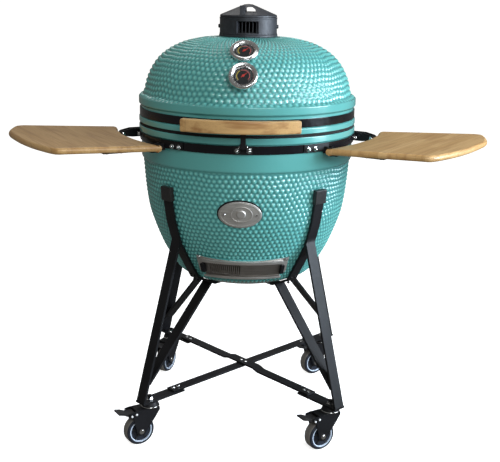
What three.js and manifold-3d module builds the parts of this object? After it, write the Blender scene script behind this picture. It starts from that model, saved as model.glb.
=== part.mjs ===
// Kamado ceramic grill on a four-legged rolling stand with two folding side tables.
// Millimetres, +Z up, front towards -Y, origin on the ground under the middle of the
// bounding box. Every part of the object is its own closed mesh.
import * as THREE from 'three';
import { mergeVertices } from 'three/addons/utils/BufferGeometryUtils.js';
import Module from 'manifold-3d';

const wasm = await Module();
wasm.setup();

// ---------- driving dimensions ----------
const LIP_RADIUS = 275;          // outside of the ceramic at the parting line
const PARTING_HEIGHT = 784.5;    // middle of the two gaskets above the ground
const BODY_RADIUS = 264;         // widest textured part of bowl and dome
const BAND_SEAT = 270.5;         // ceramic radius under the steel bands
const BAND_THICKNESS = 3;
const GASKET = 3.3;              // thickness of each felt gasket
const GASKET_GAP = 0.2;          // clear gap on each side of a gasket
const BOWL_RIM = PARTING_HEIGHT - GASKET - 2 * GASKET_GAP;
const DOME_RIM = PARTING_HEIGHT + GASKET + 2 * GASKET_GAP;
const WALL = 27;                 // ceramic wall
const BOWL_BOTTOM = 388;
const DOME_TOP = 998;            // flat crown that carries the vent
const BAND_HEIGHT = 20;
const BOWL_BAND_BOTTOM = 743;
const DOME_BAND_BOTTOM = 803.5;
const CLEAR = 0.4;               // working gap between touching parts

const VENT_RADIUS = 72.5;
const HANDLE_RADIUS = 318;       // grip centre line, an arc about the body axis
const HANDLE_HALF_ANGLE = 25;
const HANDLE_TURN = -1;          // the handle sits slightly left of the middle

const TABLE_TOP = 753;
const TABLE_THICKNESS = 16;
const TABLE_HINGE_DISTANCE = 277;    // from the body axis to the hinge line
const TABLE_HINGE_ANGLE = 60;        // hinge line direction from +X, right-hand table
const TABLE_HINGE_HEIGHT = 745;
const FRONT_KNUCKLE = -80;           // along the hinge line from its nearest point
const REAR_KNUCKLE = 171;

const LEG_AZIMUTH = 43.5;        // leg planes, measured from the front or back
const BAR_WIDTH = 30;            // flat bar of the stand
const BAR_THICKNESS = 6;
const STEM_RADIUS_FROM_AXIS = 329;
const FOOT_PLATE_BOTTOM = 108;
const FOOT_PLATE = 5;

const WHEEL_RADIUS = 38;
const WHEEL_WIDTH = 28;
const CASTER_TRAIL = 32;
// all four casters trail towards the front left, the rear left one more to the front
const casterYaw = (right, back) => (right < 0 && back > 0 ? 66 : 33);

const GRATE_RADIUS = 226;        // cooking grate, an 18-inch class cooker
const ROUND = 32;                // facets of the large round parts
const HINGE_Y = 317;             // lid hinge pin behind the body
const HINGE_Z = PARTING_HEIGHT + 1.5;

const rad = THREE.MathUtils.degToRad;
const V2 = (x, y) => new THREE.Vector2(x, y);

// ---------- outside and inside of the ceramic (radius, height) ----------
const bowlOutside = [
  [105, BOWL_BOTTOM], [150, 402], [176, 425], [208, 460], [224.5, 495], [238, 530],
  [249, 565], [256, 605], [260.5, 645], [BODY_RADIUS, 692],
  [BAND_SEAT, 701], [BAND_SEAT, 764], [LIP_RADIUS, 765.5], [LIP_RADIUS, BOWL_RIM],
];
const bowlInside = [
  [118, 418], [150, 440], [183, 475], [203, 515], [226, 590], [237, 690],
  [LIP_RADIUS - WALL - 3, BOWL_RIM],
];
const domeOutside = [
  [LIP_RADIUS, DOME_RIM], [LIP_RADIUS, 801], [BAND_SEAT, 802.5], [BAND_SEAT, 829], [LIP_RADIUS, 834],
  [LIP_RADIUS, 851], [262, 862], [253.5, 895], [239, 925], [219, 950], [191.4, 970], [159, 984],
  [118, 993], [76, DOME_TOP],
];
const domeInside = [
  [LIP_RADIUS - WALL - 3, DOME_RIM], [245, 830], [226, 893], [184, 943], [110, 967], [54, 971],
];

// ---------- solid helpers ----------
function manifoldOf(geometry) {
  const bare = geometry.clone();
  for (const name of Object.keys(bare.attributes)) {
    if (name !== 'position') bare.deleteAttribute(name);
  }
  const merged = mergeVertices(bare, 1e-4);
  const triangles = Uint32Array.from(merged.index.array);
  let solid = makeManifold(merged, triangles);
  if (solid.volume() < 0) {
    for (let i = 0; i < triangles.length; i += 3) {
      const keep = triangles[i];
      triangles[i] = triangles[i + 1];
      triangles[i + 1] = keep;
    }
    solid = makeManifold(merged, triangles);
  }
  return solid;
}

function makeManifold(geometry, triangles) {
  const mesh = new wasm.Mesh({
    numProp: 3,
    vertProperties: Float32Array.from(geometry.attributes.position.array),
    triVerts: triangles,
  });
  return new wasm.Manifold(mesh);
}

function geometryOf(solid) {
  const mesh = solid.getMesh();
  const geometry = new THREE.BufferGeometry();
  geometry.setAttribute('position', new THREE.BufferAttribute(Float32Array.from(mesh.vertProperties), 3));
  geometry.setIndex(new THREE.BufferAttribute(Uint32Array.from(mesh.triVerts), 1));
  return geometry;
}

function union(...solids) {
  return solids.reduce((sum, solid) => sum.add(solid));
}

function lathe(profile, segments = ROUND) {
  const points = profile.map(([radius, height]) => V2(radius, height));
  const geometry = new THREE.LatheGeometry(points, segments);
  geometry.rotateX(Math.PI / 2);
  return manifoldOf(geometry);
}

// a ring whose cross-section is a closed loop of (radius, height)
function ring(profile, segments = ROUND) {
  return lathe([...profile, profile[0]], segments);
}

function tube(inner, outer, bottom, top, segments = ROUND) {
  return ring([[inner, bottom], [outer, bottom], [outer, top], [inner, top]], segments);
}

function cylinder(radius, bottom, top, segments = 16) {
  return lathe([[0, bottom], [radius, bottom], [radius, top], [0, top]], segments);
}

// the ring between a profile and the same profile pushed outwards
function coating(profile, from, to, segments = ROUND) {
  const inner = profile.map(([radius, height]) => [radius + from, height]);
  const outer = profile.map(([radius, height]) => [radius + to, height]);
  return ring([...inner, ...outer.reverse()], segments);
}

function box(width, depth, height, x = 0, y = 0, z = 0) {
  const geometry = new THREE.BoxGeometry(width, depth, height);
  geometry.translate(x, y, z);
  return manifoldOf(geometry);
}

// straight round rod between two points
function rod(start, end, radius, sides = 10) {
  const from = new THREE.Vector3(...start);
  const to = new THREE.Vector3(...end);
  const geometry = new THREE.CylinderGeometry(radius, radius, from.distanceTo(to), sides);
  const along = to.clone().sub(from).normalize();
  geometry.applyQuaternion(new THREE.Quaternion().setFromUnitVectors(new THREE.Vector3(0, 1, 0), along));
  const middle = from.add(to).multiplyScalar(0.5);
  geometry.translate(middle.x, middle.y, middle.z);
  return manifoldOf(geometry);
}

// a flat outline (x, y) given a thickness upwards
function plate(outline, bottom, top) {
  const shape = new THREE.Shape(outline.map(([x, y]) => V2(x, y)));
  const geometry = new THREE.ExtrudeGeometry(shape, { depth: top - bottom, bevelEnabled: false });
  geometry.translate(0, 0, bottom);
  return manifoldOf(geometry);
}

// a flat outline in (sideways, height) given a width along the direction of view
function uprightPlate(outline, front, back) {
  const shape = new THREE.Shape(outline.map(([x, z]) => V2(x, z)));
  const geometry = new THREE.ExtrudeGeometry(shape, { depth: back - front, bevelEnabled: false });
  geometry.rotateX(Math.PI / 2);
  geometry.translate(0, back, 0);
  return manifoldOf(geometry);
}

// a flat outline in (outwards, height) given a width across, centred on the x-z plane
function radialPlate(outline, width) {
  return uprightPlate(outline, -width / 2, width / 2);
}

function ellipse(centreX, centreZ, halfWidth, halfHeight, count = 40) {
  const outline = [];
  for (let i = 0; i < count; i += 1) {
    const angle = (2 * Math.PI * i) / count;
    outline.push([centreX + halfWidth * Math.cos(angle), centreZ + halfHeight * Math.sin(angle)]);
  }
  return outline;
}

// a flat bar bent along a line, as a closed outline of constant thickness
function ribbon(line, thickness) {
  const left = [];
  const right = [];
  line.forEach((point, i) => {
    const before = V2(...line[Math.max(i - 1, 0)]);
    const here = V2(...point);
    const after = V2(...line[Math.min(i + 1, line.length - 1)]);
    const arriving = (i === 0 ? after.clone().sub(here) : here.clone().sub(before)).normalize();
    const leaving = (i === line.length - 1 ? arriving.clone() : after.clone().sub(here)).normalize();
    const along = arriving.clone().add(leaving).normalize();
    const reach = thickness / 2 / along.dot(arriving);
    left.push([here.x - along.y * reach, here.y + along.x * reach]);
    right.push([here.x + along.y * reach, here.y - along.x * reach]);
  });
  return [...left, ...right.reverse()];
}

// a point on a circle about the body axis; 0 degrees is the front, positive towards +X
function around(radius, degrees) {
  return [radius * Math.sin(rad(degrees)), -radius * Math.cos(rad(degrees))];
}

// a wedge-shaped block about the body axis between two angles from the front
function sector(from, to, bottom, top, reach = 420) {
  const outline = [[0, 0]];
  const steps = Math.max(2, Math.ceil((to - from) / 10));
  for (let i = 0; i <= steps; i += 1) outline.push(around(reach, from + ((to - from) * i) / steps));
  return plate(outline, bottom, top);
}

// ---------- ceramic ----------
// cone that the draft door slides on
const DRAFT_TOP = 473;
const DRAFT_BOTTOM = 423;
const draftRadius = (height) => 203 + (height - DRAFT_BOTTOM) * 0.4;
const draftSlice = (from, to, bottom, top) => coating(
  [[draftRadius(bottom), bottom], [draftRadius(top), top]], from, to, 2 * ROUND,
);

function draftPad() {
  const pad = ring([
    [140, 412], [draftRadius(DRAFT_BOTTOM) - 8, 414],
    [draftRadius(DRAFT_BOTTOM - 3) - CLEAR, DRAFT_BOTTOM - 3],
    [draftRadius(DRAFT_TOP + 8) - CLEAR, DRAFT_TOP + 8], [190, DRAFT_TOP + 8],
  ]);
  return pad.intersect(sector(-33, 33, 400, 500));
}

function bowlShape() {
  const outside = lathe([[0, BOWL_BOTTOM], ...bowlOutside, [0, BOWL_RIM]]);
  const inside = lathe([[0, 418], ...bowlInside, [bowlInside.at(-1)[0], 800], [0, 800]]);
  const opening = uprightPlate([[-84, 430], [84, 430], [84, 464], [-84, 464]], -260, -90);
  return outside.add(draftPad()).subtract(inside).subtract(opening);
}

// tilt of each thermometer axis above the horizontal, and where its bezel sits
const thermometers = {
  lower: { tilt: 34, y: -252, z: 916 },
  upper: { tilt: 52, y: -194, z: 966 },
};

// solids built along +Z at the origin, turned to point out of the front of the dome
function onThermometer(solid, which) {
  const { tilt, y, z } = thermometers[which];
  return solid.rotate([90 - tilt, 0, 0]).translate([-2, y, z]);
}

function domeShape() {
  const outside = lathe([[0, DOME_RIM], ...domeOutside, [0, DOME_TOP]]);
  const inside = lathe([[0, 780], [domeInside[0][0], 780], ...domeInside, [0, 971]]);
  const chimney = cylinder(54, 960, 1010, ROUND);
  const probes = Object.keys(thermometers).map((which) => onThermometer(cylinder(6, -80, 60, 12), which));
  return union(outside).subtract(union(inside, chimney, ...probes));
}

// open at the bottom, with a ledge for the charcoal grate and a notch behind the draft door
function fireBox() {
  const body = ring([
    [92, 418.4], [112, 418.4], [150, 456], [180, 505], [204, 600],
    [184, 600], [158, 486], [134, 486],
  ]);
  const ashDoor = box(150, 120, 53, 0, -140, 436.5);
  return body.subtract(ashDoor);
}

function fireRing() {
  return ring([[186, 600.5], [206, 600.5], [220, 690], [226, 750], [206, 750], [200, 690]]);
}

function charcoalGrate() {
  let grate = cylinder(148, 486.5, 495, 36);
  for (let row = -3; row <= 3; row += 1) {
    const half = Math.sqrt(130 ** 2 - (row * 36) ** 2) - 4;
    for (const side of [-1, 1]) {
      grate = grate.subtract(box(half - 8, 14, 20, (side * (half + 8)) / 2, row * 36, 490));
    }
  }
  return grate;
}

function cookingGrate() {
  const rim = tube(GRATE_RADIUS - 6, GRATE_RADIUS, 750.5, 757);
  const parts = [rim];
  const inside = GRATE_RADIUS - 3;
  for (let bar = -8; bar <= 8; bar += 1) {
    const x = bar * 26;
    parts.push(box(4.5, 2 * Math.sqrt(inside ** 2 - x ** 2), 4.5, x, 0, 754.5));
  }
  for (const y of [-95, 95]) {
    parts.push(box(2 * Math.sqrt(inside ** 2 - y ** 2), 5, 4, 0, y, 752.6));
  }
  return union(...parts);
}

// ---------- bands and lid hinge ----------
function band(bottom) {
  return tube(BAND_SEAT + CLEAR, BAND_SEAT + CLEAR + BAND_THICKNESS, bottom, bottom + BAND_HEIGHT);
}

const BAND_OUTSIDE = BAND_SEAT + CLEAR + BAND_THICKNESS;

// a strap pad that follows a band, between two angles from the front
function bandPad(from, to, bottom, top, thickness = 3) {
  const inner = BAND_OUTSIDE + CLEAR;
  return tube(inner, inner + thickness, bottom, top).intersect(sector(from, to, bottom - 5, top + 5));
}

function hingeBracket(padBottom, earX) {
  const pad = bandPad(167, 193, padBottom, padBottom + BAND_HEIGHT);
  const ears = [-1, 1].map((side) => {
    const ear = radialPlate(earOutline(padBottom, padBottom + BAND_HEIGHT), 5);
    return ear.rotate([0, 0, 90]).translate([side * earX, 0, 0]);
  });
  const body = cylinder(LIP_RADIUS + 1.5, 700, 900, ROUND);
  const bore = rod([-80, HINGE_Y, HINGE_Z], [80, HINGE_Y, HINGE_Z], 5 + CLEAR, 16);
  return pad.add(union(...ears).subtract(body)).subtract(bore);
}

// side view of a hinge ear: from the band out to the pin
function earOutline(padBottom, padTop) {
  const outline = [];
  const eye = 10;
  const root = BAND_OUTSIDE - 12;
  const upward = (padBottom + padTop) / 2 > HINGE_Z;
  const start = upward ? -100 : -80;
  for (let i = 0; i <= 8; i += 1) {
    const angle = rad(start + (180 * i) / 8);
    outline.push([HINGE_Y + eye * Math.cos(angle), HINGE_Z + eye * Math.sin(angle)]);
  }
  return [[root, padBottom], ...outline, [root, padTop]];
}

function hingePin() {
  const pin = rod([-62, HINGE_Y, HINGE_Z], [62, HINGE_Y, HINGE_Z], 5, 16);
  const heads = [-1, 1].map((side) => {
    return rod([side * 61, HINGE_Y, HINGE_Z], [side * 66, HINGE_Y, HINGE_Z], 8, 16);
  });
  return union(pin, ...heads);
}

// close-wound coil on the hinge pin
function hingeSpring(side) {
  const turns = 5;
  const perTurn = 8;
  const points = [];
  for (let i = 0; i <= turns * perTurn; i += 1) {
    const angle = (2 * Math.PI * i) / perTurn;
    points.push(new THREE.Vector3(
      side * (5 + (29 * i) / (turns * perTurn)),
      HINGE_Y + 8.2 * Math.cos(angle),
      HINGE_Z + 8.2 * Math.sin(angle),
    ));
  }
  const wire = new THREE.Shape(ellipse(0, 0, 1.9, 1.9, 4).map(([x, y]) => V2(x, y)));
  const path = new THREE.CatmullRomCurve3(points);
  const steps = turns * perTurn;
  const coil = new THREE.ExtrudeGeometry(wire, { steps, extrudePath: path, bevelEnabled: false });
  return manifoldOf(coil);
}

// ---------- handle and latch ----------
function handleGrip() {
  const height = 30;
  const slat = ring([
    [HANDLE_RADIUS - 9, 797], [HANDLE_RADIUS + 6, 797], [HANDLE_RADIUS + 9, 801],
    [HANDLE_RADIUS + 9, 797 + height - 4], [HANDLE_RADIUS + 6, 797 + height],
    [HANDLE_RADIUS - 9, 797 + height],
  ], 60);
  const grip = slat.intersect(sector(-HANDLE_HALF_ANGLE, HANDLE_HALF_ANGLE, 780, 850));
  return grip.rotate([0, 0, HANDLE_TURN]);
}

function handleBracket(side) {
  const middle = 20 + side * HANDLE_TURN;
  const pad = bandPad(middle - 4, middle + 4, 804, 823);
  const arm = radialPlate([
    [BAND_OUTSIDE + 1, 807], [HANDLE_RADIUS - 10, 807], [HANDLE_RADIUS - 10, 821], [BAND_OUTSIDE + 1, 821],
  ], 18);
  const bracket = pad.add(arm.rotate([0, 0, middle - 90]));
  return side < 0 ? bracket.mirror([1, 0, 0]) : bracket;
}

const LATCH_PIVOT = { y: -284.5, z: 763 };

function latchBracket() {
  const pad = bandPad(-4.6, 4.6, 744, 762);
  const cheeks = [-1, 1].map((side) => box(1.6, 12, 18, 1 + side * 7.6, -281.5, 759));
  const bore = rod([-20, LATCH_PIVOT.y, LATCH_PIVOT.z], [20, LATCH_PIVOT.y, LATCH_PIVOT.z], 1.9, 10);
  return union(pad, ...cheeks).subtract(bore);
}

function latchArm() {
  const outline = [
    [284, 757.5], [289, 757.5], [289.5, 790], [289.5, 797], [287, 801], [281, 801], [281, 796],
    [285, 794], [284.5, 785], [282, 768], [281.5, 762],
  ];
  const arm = radialPlate(outline, 12).rotate([0, 0, -90]).translate([1, 0, 0]);
  const pin = rod([-8.2, LATCH_PIVOT.y, LATCH_PIVOT.z], [10.2, LATCH_PIVOT.y, LATCH_PIVOT.z], 1.5, 10);
  return arm.add(pin);
}

// ---------- thermometers ----------
const BEZEL_RADIUS = 34;
const DIAL_RADIUS = 22.5;
const DIAL_FLOOR = 11;

function thermometerHousing(which) {
  const cup = lathe([
    [0, -14], [26, -14], [26, 4], [BEZEL_RADIUS - 1, 8], [BEZEL_RADIUS, 10], [BEZEL_RADIUS, 15],
    [BEZEL_RADIUS - 2, 17], [DIAL_RADIUS + 1, 13.5], [DIAL_RADIUS, DIAL_FLOOR], [0, DIAL_FLOOR],
  ], 24);
  const probe = cylinder(3.5, -60, -10, 10);
  const skin = domeOutside.map(([radius, height]) => [radius + CLEAR, height + CLEAR]);
  const ceramic = lathe([[0, DOME_RIM], ...skin, [0, DOME_TOP + CLEAR]]);
  const bore = onThermometer(cylinder(5, -80, 5, 12), which);
  return onThermometer(cup, which).subtract(ceramic.subtract(bore)).add(onThermometer(probe, which));
}

function thermometerNeedle(which) {
  const hub = cylinder(3, DIAL_FLOOR + 0.4, DIAL_FLOOR + 1.8, 12);
  const arrow = [[-1.2, -7], [1.2, -7], [0.9, 10], [0, 19], [-0.9, 10]];
  const pointer = plate(arrow, DIAL_FLOOR + 0.4, DIAL_FLOOR + 1.2);
  return onThermometer(hub.add(pointer).rotate([0, 0, -48]), which);
}

function thermometerLens(which) {
  return onThermometer(cylinder(DIAL_RADIUS - 0.8, DIAL_FLOOR + 2.3, DIAL_FLOOR + 3.3, 24), which);
}

// ---------- top vent ----------
const VENT_FLOOR = DOME_TOP + CLEAR;
const VENT_EAVE = 1046;
const WINDOW_HALF_ANGLE = 21;

function ventBase() {
  const casting = ring([
    [44, 974], [52, 974], [52, VENT_FLOOR], [VENT_RADIUS + 1, VENT_FLOOR], [VENT_RADIUS + 1, 1004],
    [64, 1004], [64, VENT_EAVE], [58, VENT_EAVE], [58, 1002], [44, 1002],
  ], 32);
  const slots = [];
  for (let i = -2; i <= 2; i += 1) {
    slots.push(box(6, 30, 27, 0, -61, 1022.5).rotate([0, 0, i * 8]));
  }
  return casting.subtract(union(...slots));
}

function ventSleeve() {
  const sleeve = tube(64.8, VENT_RADIUS, 1004 + CLEAR, VENT_EAVE - 0.6, 32);
  const window = sector(-WINDOW_HALF_ANGLE, WINDOW_HALF_ANGLE, 1008, 1037, 90);
  const bosses = [-1, 1].map((side) => {
    return rod([side * 68, 0, 1023], [side * (VENT_RADIUS + 3), 0, 1023], 5, 12);
  });
  return union(sleeve.subtract(window), ...bosses);
}

// conical cap with a finger tunnel through its peak and a rib down its front
function ventRoof() {
  const cone = lathe([
    [0, VENT_EAVE + CLEAR], [VENT_RADIUS - 1, VENT_EAVE + CLEAR], [VENT_RADIUS - 1, 1050],
    [VENT_RADIUS - 3, 1052], [18, 1073.5], [10, 1076.5], [0, 1077.5],
  ], 32);
  const rib = box(12, 48, 26, -13, -45, 1061).intersect(cylinder(VENT_RADIUS - 1, 1040, 1080, 32));
  const tunnel = uprightPlate([
    [-6, 1058.5], [20, 1058.5], [17, 1065], [10, 1070], [0, 1070], [-6, 1067],
  ], -80, 80);
  return cone.add(rib).subtract(tunnel);
}

// ---------- draft door and name oval ----------
const DRAFT_HALF_ANGLE = 26;

function draftFrame() {
  const rise = (x) => 7 * (x / 108) ** 2;
  const outline = [];
  for (let i = -6; i <= 6; i += 1) outline.push([i * 18, DRAFT_TOP + rise(i * 18)]);
  for (let i = 6; i >= -6; i -= 1) outline.push([i * 17.4, DRAFT_BOTTOM + rise(i * 18) * 1.6]);
  const sheet = draftSlice(0, 2, 415, 485).intersect(uprightPlate(outline, -260, -120));
  const span = sector(-DRAFT_HALF_ANGLE, DRAFT_HALF_ANGLE, 400, 500);
  const ceiling = DRAFT_TOP - 1;
  const floor = DRAFT_BOTTOM + 1.5;
  const channels = [[ceiling - 3, ceiling], [floor, floor + 3]].map(([bottom, top]) => {
    return draftSlice(1, 10.5, bottom, top).intersect(span);
  });
  const lips = [[ceiling - 7, ceiling], [floor, floor + 7]].map(([bottom, top]) => {
    return draftSlice(8.8, 10.5, bottom, top).intersect(span);
  });
  const window = uprightPlate([[-80, 434], [80, 434], [80, 462], [-80, 462]], -260, -120);
  return union(sheet.subtract(window), ...channels, ...lips);
}

// a sliding half: a curved plate between two angles on the draft cone, with an end grip
function draftPanel(from, to, offset, gripAt) {
  const panel = draftSlice(offset, offset + 1.4, DRAFT_BOTTOM + 5, DRAFT_TOP - 4.5);
  const grip = draftSlice(offset, 15, 439, 457).intersect(sector(gripAt - 0.8, gripAt + 0.8, 400, 500));
  return panel.intersect(sector(from, to, 400, 500)).add(grip);
}

function draftScreen() {
  const screen = draftPanel(-25.5, 0.4, 2.6, -23.5);
  const slots = [];
  for (let i = 0; i < 16; i += 1) slots.push(box(2, 60, 30, 0, -210, 448).rotate([0, 0, -21.1 + i * 1.3]));
  return screen.subtract(union(...slots));
}

function draftDoor() {
  return draftPanel(-0.4, 25.5, 5.4, 23.5);
}

function ovalPlate() {
  const skin = coating(bowlOutside.slice(5, 10), CLEAR, CLEAR + 3);
  return skin.intersect(uprightPlate(ellipse(-5.5, 596.5, 52, 33), -300, -200));
}

// ---------- side tables ----------
// right-hand table in hinge coordinates: x outwards from the hinge line, y along it
const tableFoot = {
  x: TABLE_HINGE_DISTANCE * Math.sin(rad(TABLE_HINGE_ANGLE)),
  y: -TABLE_HINGE_DISTANCE * Math.cos(rad(TABLE_HINGE_ANGLE)),
};
const KNUCKLE_RADIUS = 6.5;
const KNUCKLE_LENGTH = 14;
const ARM_TOP = TABLE_TOP - TABLE_THICKNESS - CLEAR;
const ARM_THICKNESS = 4;

function fromHinge(solid) {
  return solid.rotate([0, 0, TABLE_HINGE_ANGLE - 90]).translate([tableFoot.x, tableFoot.y, 0]);
}

function onSide(solid, side) {
  return side < 0 ? solid.mirror([1, 0, 0]) : solid;
}

// plan of the board: concave towards the body, straight sides, bowed outer edge
const tableOutline = [
  [7, -84], [12, -60], [17, -22], [21, 27], [20, 101], [12, 150], [5, 190], [-5, 215], [-12, 240],
  [-9, 251], [205, 362], [222, 362], [236, 350], [262, 296], [273, 255], [276, 200], [276, 135],
  [270, 65], [257, 0], [248, -30], [238, -43], [222, -46], [14, -93], [8, -91],
];

function tableBoard(side) {
  return onSide(fromHinge(plate(tableOutline, TABLE_TOP - TABLE_THICKNESS, TABLE_TOP)), side);
}

function hingeBarrel(along, length, radius) {
  const start = [0, along - length / 2, TABLE_HINGE_HEIGHT];
  const end = [0, along + length / 2, TABLE_HINGE_HEIGHT];
  return rod(start, end, radius, 12);
}

function tableSupport(side) {
  const armMiddle = ARM_TOP - ARM_THICKNESS / 2;
  const parts = [];
  for (const [knuckle, arm] of [[FRONT_KNUCKLE + 13, FRONT_KNUCKLE + 40], [REAR_KNUCKLE, REAR_KNUCKLE]]) {
    parts.push(hingeBarrel(knuckle, KNUCKLE_LENGTH, KNUCKLE_RADIUS));
    parts.push(box(6, KNUCKLE_LENGTH, 13, 3, knuckle, TABLE_HINGE_HEIGHT - 6.9));
    parts.push(box(20, KNUCKLE_LENGTH, ARM_THICKNESS, 10, knuckle, armMiddle));
    parts.push(box(10, arm - knuckle + KNUCKLE_LENGTH, ARM_THICKNESS, 15, (arm + knuckle) / 2, armMiddle));
    parts.push(box(124, 20, ARM_THICKNESS, 68, arm, armMiddle));
  }
  const frontArm = FRONT_KNUCKLE + 40;
  const span = REAR_KNUCKLE - frontArm;
  parts.push(box(22, span, ARM_THICKNESS, 119, frontArm + span / 2, armMiddle));
  const bores = [FRONT_KNUCKLE + 13, REAR_KNUCKLE].map((at) => hingeBarrel(at, 40, 3 + CLEAR));
  return onSide(fromHinge(union(...parts).subtract(union(...bores))), side);
}

// fixed half of a table hinge: pad on the bowl band, two ears and the pin
function tableBracket(side, knuckle, padFrom, padTo, earBottom) {
  const pad = bandPad(padFrom, padTo, 744, 762);
  const ears = [-1, 1].map((end) => {
    const at = knuckle + end * (KNUCKLE_LENGTH / 2 + 2.6);
    const outline = [
      [-70, earBottom], [-24, earBottom], [0, TABLE_HINGE_HEIGHT - 6], [5, TABLE_HINGE_HEIGHT - 3],
      [5, TABLE_HINGE_HEIGHT + 5], [0, TABLE_HINGE_HEIGHT + 8], [-24, 758], [-70, 758],
    ];
    return radialPlate(outline, 4).translate([0, at, 0]);
  });
  const pin = hingeBarrel(knuckle, KNUCKLE_LENGTH + 12, 3);
  const body = cylinder(BAND_OUTSIDE + CLEAR, 700, 800, ROUND);
  const hinge = fromHinge(union(...ears)).subtract(body).add(fromHinge(pin));
  return onSide(pad.add(hinge), side);
}

// ---------- stand ----------
// all flat bars of one leg lie across the leg plane; outlines are (outwards, height)
const cradleLine = [
  [267, 646], [262.8, 604], [255.8, 563], [245, 528], [235.5, 500], [178, 402], [122, 377], [92, 377],
];
const legLine = [[238.5, 512], [357.3, FOOT_PLATE_BOTTOM + 4]];
const strutLine = [[134, 381], [341, 158]];
const FOOT_LEVEL = FOOT_PLATE_BOTTOM + FOOT_PLATE / 2;
const footLine = [[228, FOOT_LEVEL], [361, FOOT_LEVEL]];

// corner of the stand: +1 or -1 to the right or left, +1 or -1 to the back or front
function onLeg(solid, right, back) {
  const angle = 90 - LEG_AZIMUTH;
  const heading = Math.atan2(back * Math.sin(rad(angle)), right * Math.cos(rad(angle)));
  return solid.rotate([0, 0, THREE.MathUtils.radToDeg(heading)]);
}

function legFrame(right, back) {
  const bars = [
    radialPlate(ribbon(cradleLine, BAR_THICKNESS), BAR_WIDTH),
    radialPlate(ribbon(legLine, BAR_THICKNESS), BAR_WIDTH),
    radialPlate(ribbon(strutLine, BAR_THICKNESS), BAR_WIDTH),
    radialPlate(ribbon(footLine, FOOT_PLATE), BAR_WIDTH + 4),
  ];
  const stemHole = cylinder(6.6, 90, 125, 12).translate([STEM_RADIUS_FROM_AXIS, 0, 0]);
  return onLeg(union(...bars).subtract(stemHole), right, back);
}

function cradlePlate() {
  return tube(40, 117, 380 + CLEAR, 384.5, ROUND);
}

const CROSS_BAR_REACH = 262;
const CROSS_BAR_LEVEL = FOOT_PLATE_BOTTOM + FOOT_PLATE + CLEAR + 2.5;

function lowerCrossBar() {
  const line = [[-CROSS_BAR_REACH, CROSS_BAR_LEVEL], [CROSS_BAR_REACH, CROSS_BAR_LEVEL]];
  return onLeg(radialPlate(ribbon(line, 5), 28), 1, 1);
}

function upperCrossBar() {
  const raised = CROSS_BAR_LEVEL + 5 + CLEAR;
  const line = [
    [-CROSS_BAR_REACH, CROSS_BAR_LEVEL], [-70, CROSS_BAR_LEVEL], [-50, raised],
    [50, raised], [70, CROSS_BAR_LEVEL], [CROSS_BAR_REACH, CROSS_BAR_LEVEL],
  ];
  return onLeg(radialPlate(ribbon(line, 5), 28), 1, -1);
}

// ---------- casters (built with the stem at the origin, trailing towards -X) ----------
function onStem(solid, right, back) {
  const x = right * STEM_RADIUS_FROM_AXIS * Math.sin(rad(LEG_AZIMUTH));
  const y = back * STEM_RADIUS_FROM_AXIS * Math.cos(rad(LEG_AZIMUTH));
  return solid.rotate([0, 0, casterYaw(right, back)]).translate([x, y, 0]);
}

const PEDAL_PIVOT = { x: -50, z: 86 };

function casterFork(right, back) {
  const cheekOutline = [
    [18, 95], [18, 88], [6, 70], [-20, 36], [-26, 28], [-38, 28], [-44, 36], [-54, 78],
    [-62, 84], [-62, 93], [-50, 95],
  ];
  const cheeks = [-1, 1].map((side) => radialPlate(cheekOutline, 2.5).translate([0, side * 18, 0]));
  const top = box(62, 38.5, 4, -13, 0, 93);
  const raceTop = FOOT_PLATE_BOTTOM - CLEAR;
  const race = lathe([[0, 92], [21, 92], [23, 98], [19, raceTop], [0, raceTop]], 16);
  const stem = cylinder(6, raceTop - 4, FOOT_PLATE_BOTTOM + 15, 12);
  const axle = rod([-CASTER_TRAIL, -22, WHEEL_RADIUS], [-CASTER_TRAIL, 22, WHEEL_RADIUS], 4, 12);
  const bore = rod([PEDAL_PIVOT.x, -30, PEDAL_PIVOT.z], [PEDAL_PIVOT.x, 30, PEDAL_PIVOT.z], 2.6, 12);
  return onStem(union(top, race, stem, ...cheeks, axle).subtract(bore), right, back);
}

function casterWheel(right, back) {
  const half = WHEEL_WIDTH / 2;
  const wheel = ring([
    [4.5, -half - 1], [11, -half - 1], [12, -9], [25, -9], [27, -half], [34, -half],
    [WHEEL_RADIUS, -half + 6], [WHEEL_RADIUS, half - 6],
    [34, half], [27, half], [25, 9], [12, 9], [11, half + 1], [4.5, half + 1],
  ], 18);
  const upright = wheel.rotate([90, 0, 0]).translate([-CASTER_TRAIL, 0, WHEEL_RADIUS]);
  return onStem(upright, right, back);
}

function casterPedal(right, back) {
  const outline = [
    [-46, 82.5], [-55, 83], [-66, 84], [-78, 90], [-91, 93.5], [-91, 98],
    [-78, 95.5], [-65, 90], [-54, 89.5], [-46, 89.5],
  ];
  const lever = radialPlate(outline, 30);
  const pivot = rod([PEDAL_PIVOT.x, -21, PEDAL_PIVOT.z], [PEDAL_PIVOT.x, 21, PEDAL_PIVOT.z], 2.2, 12);
  return onStem(lever.add(pivot), right, back);
}

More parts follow.
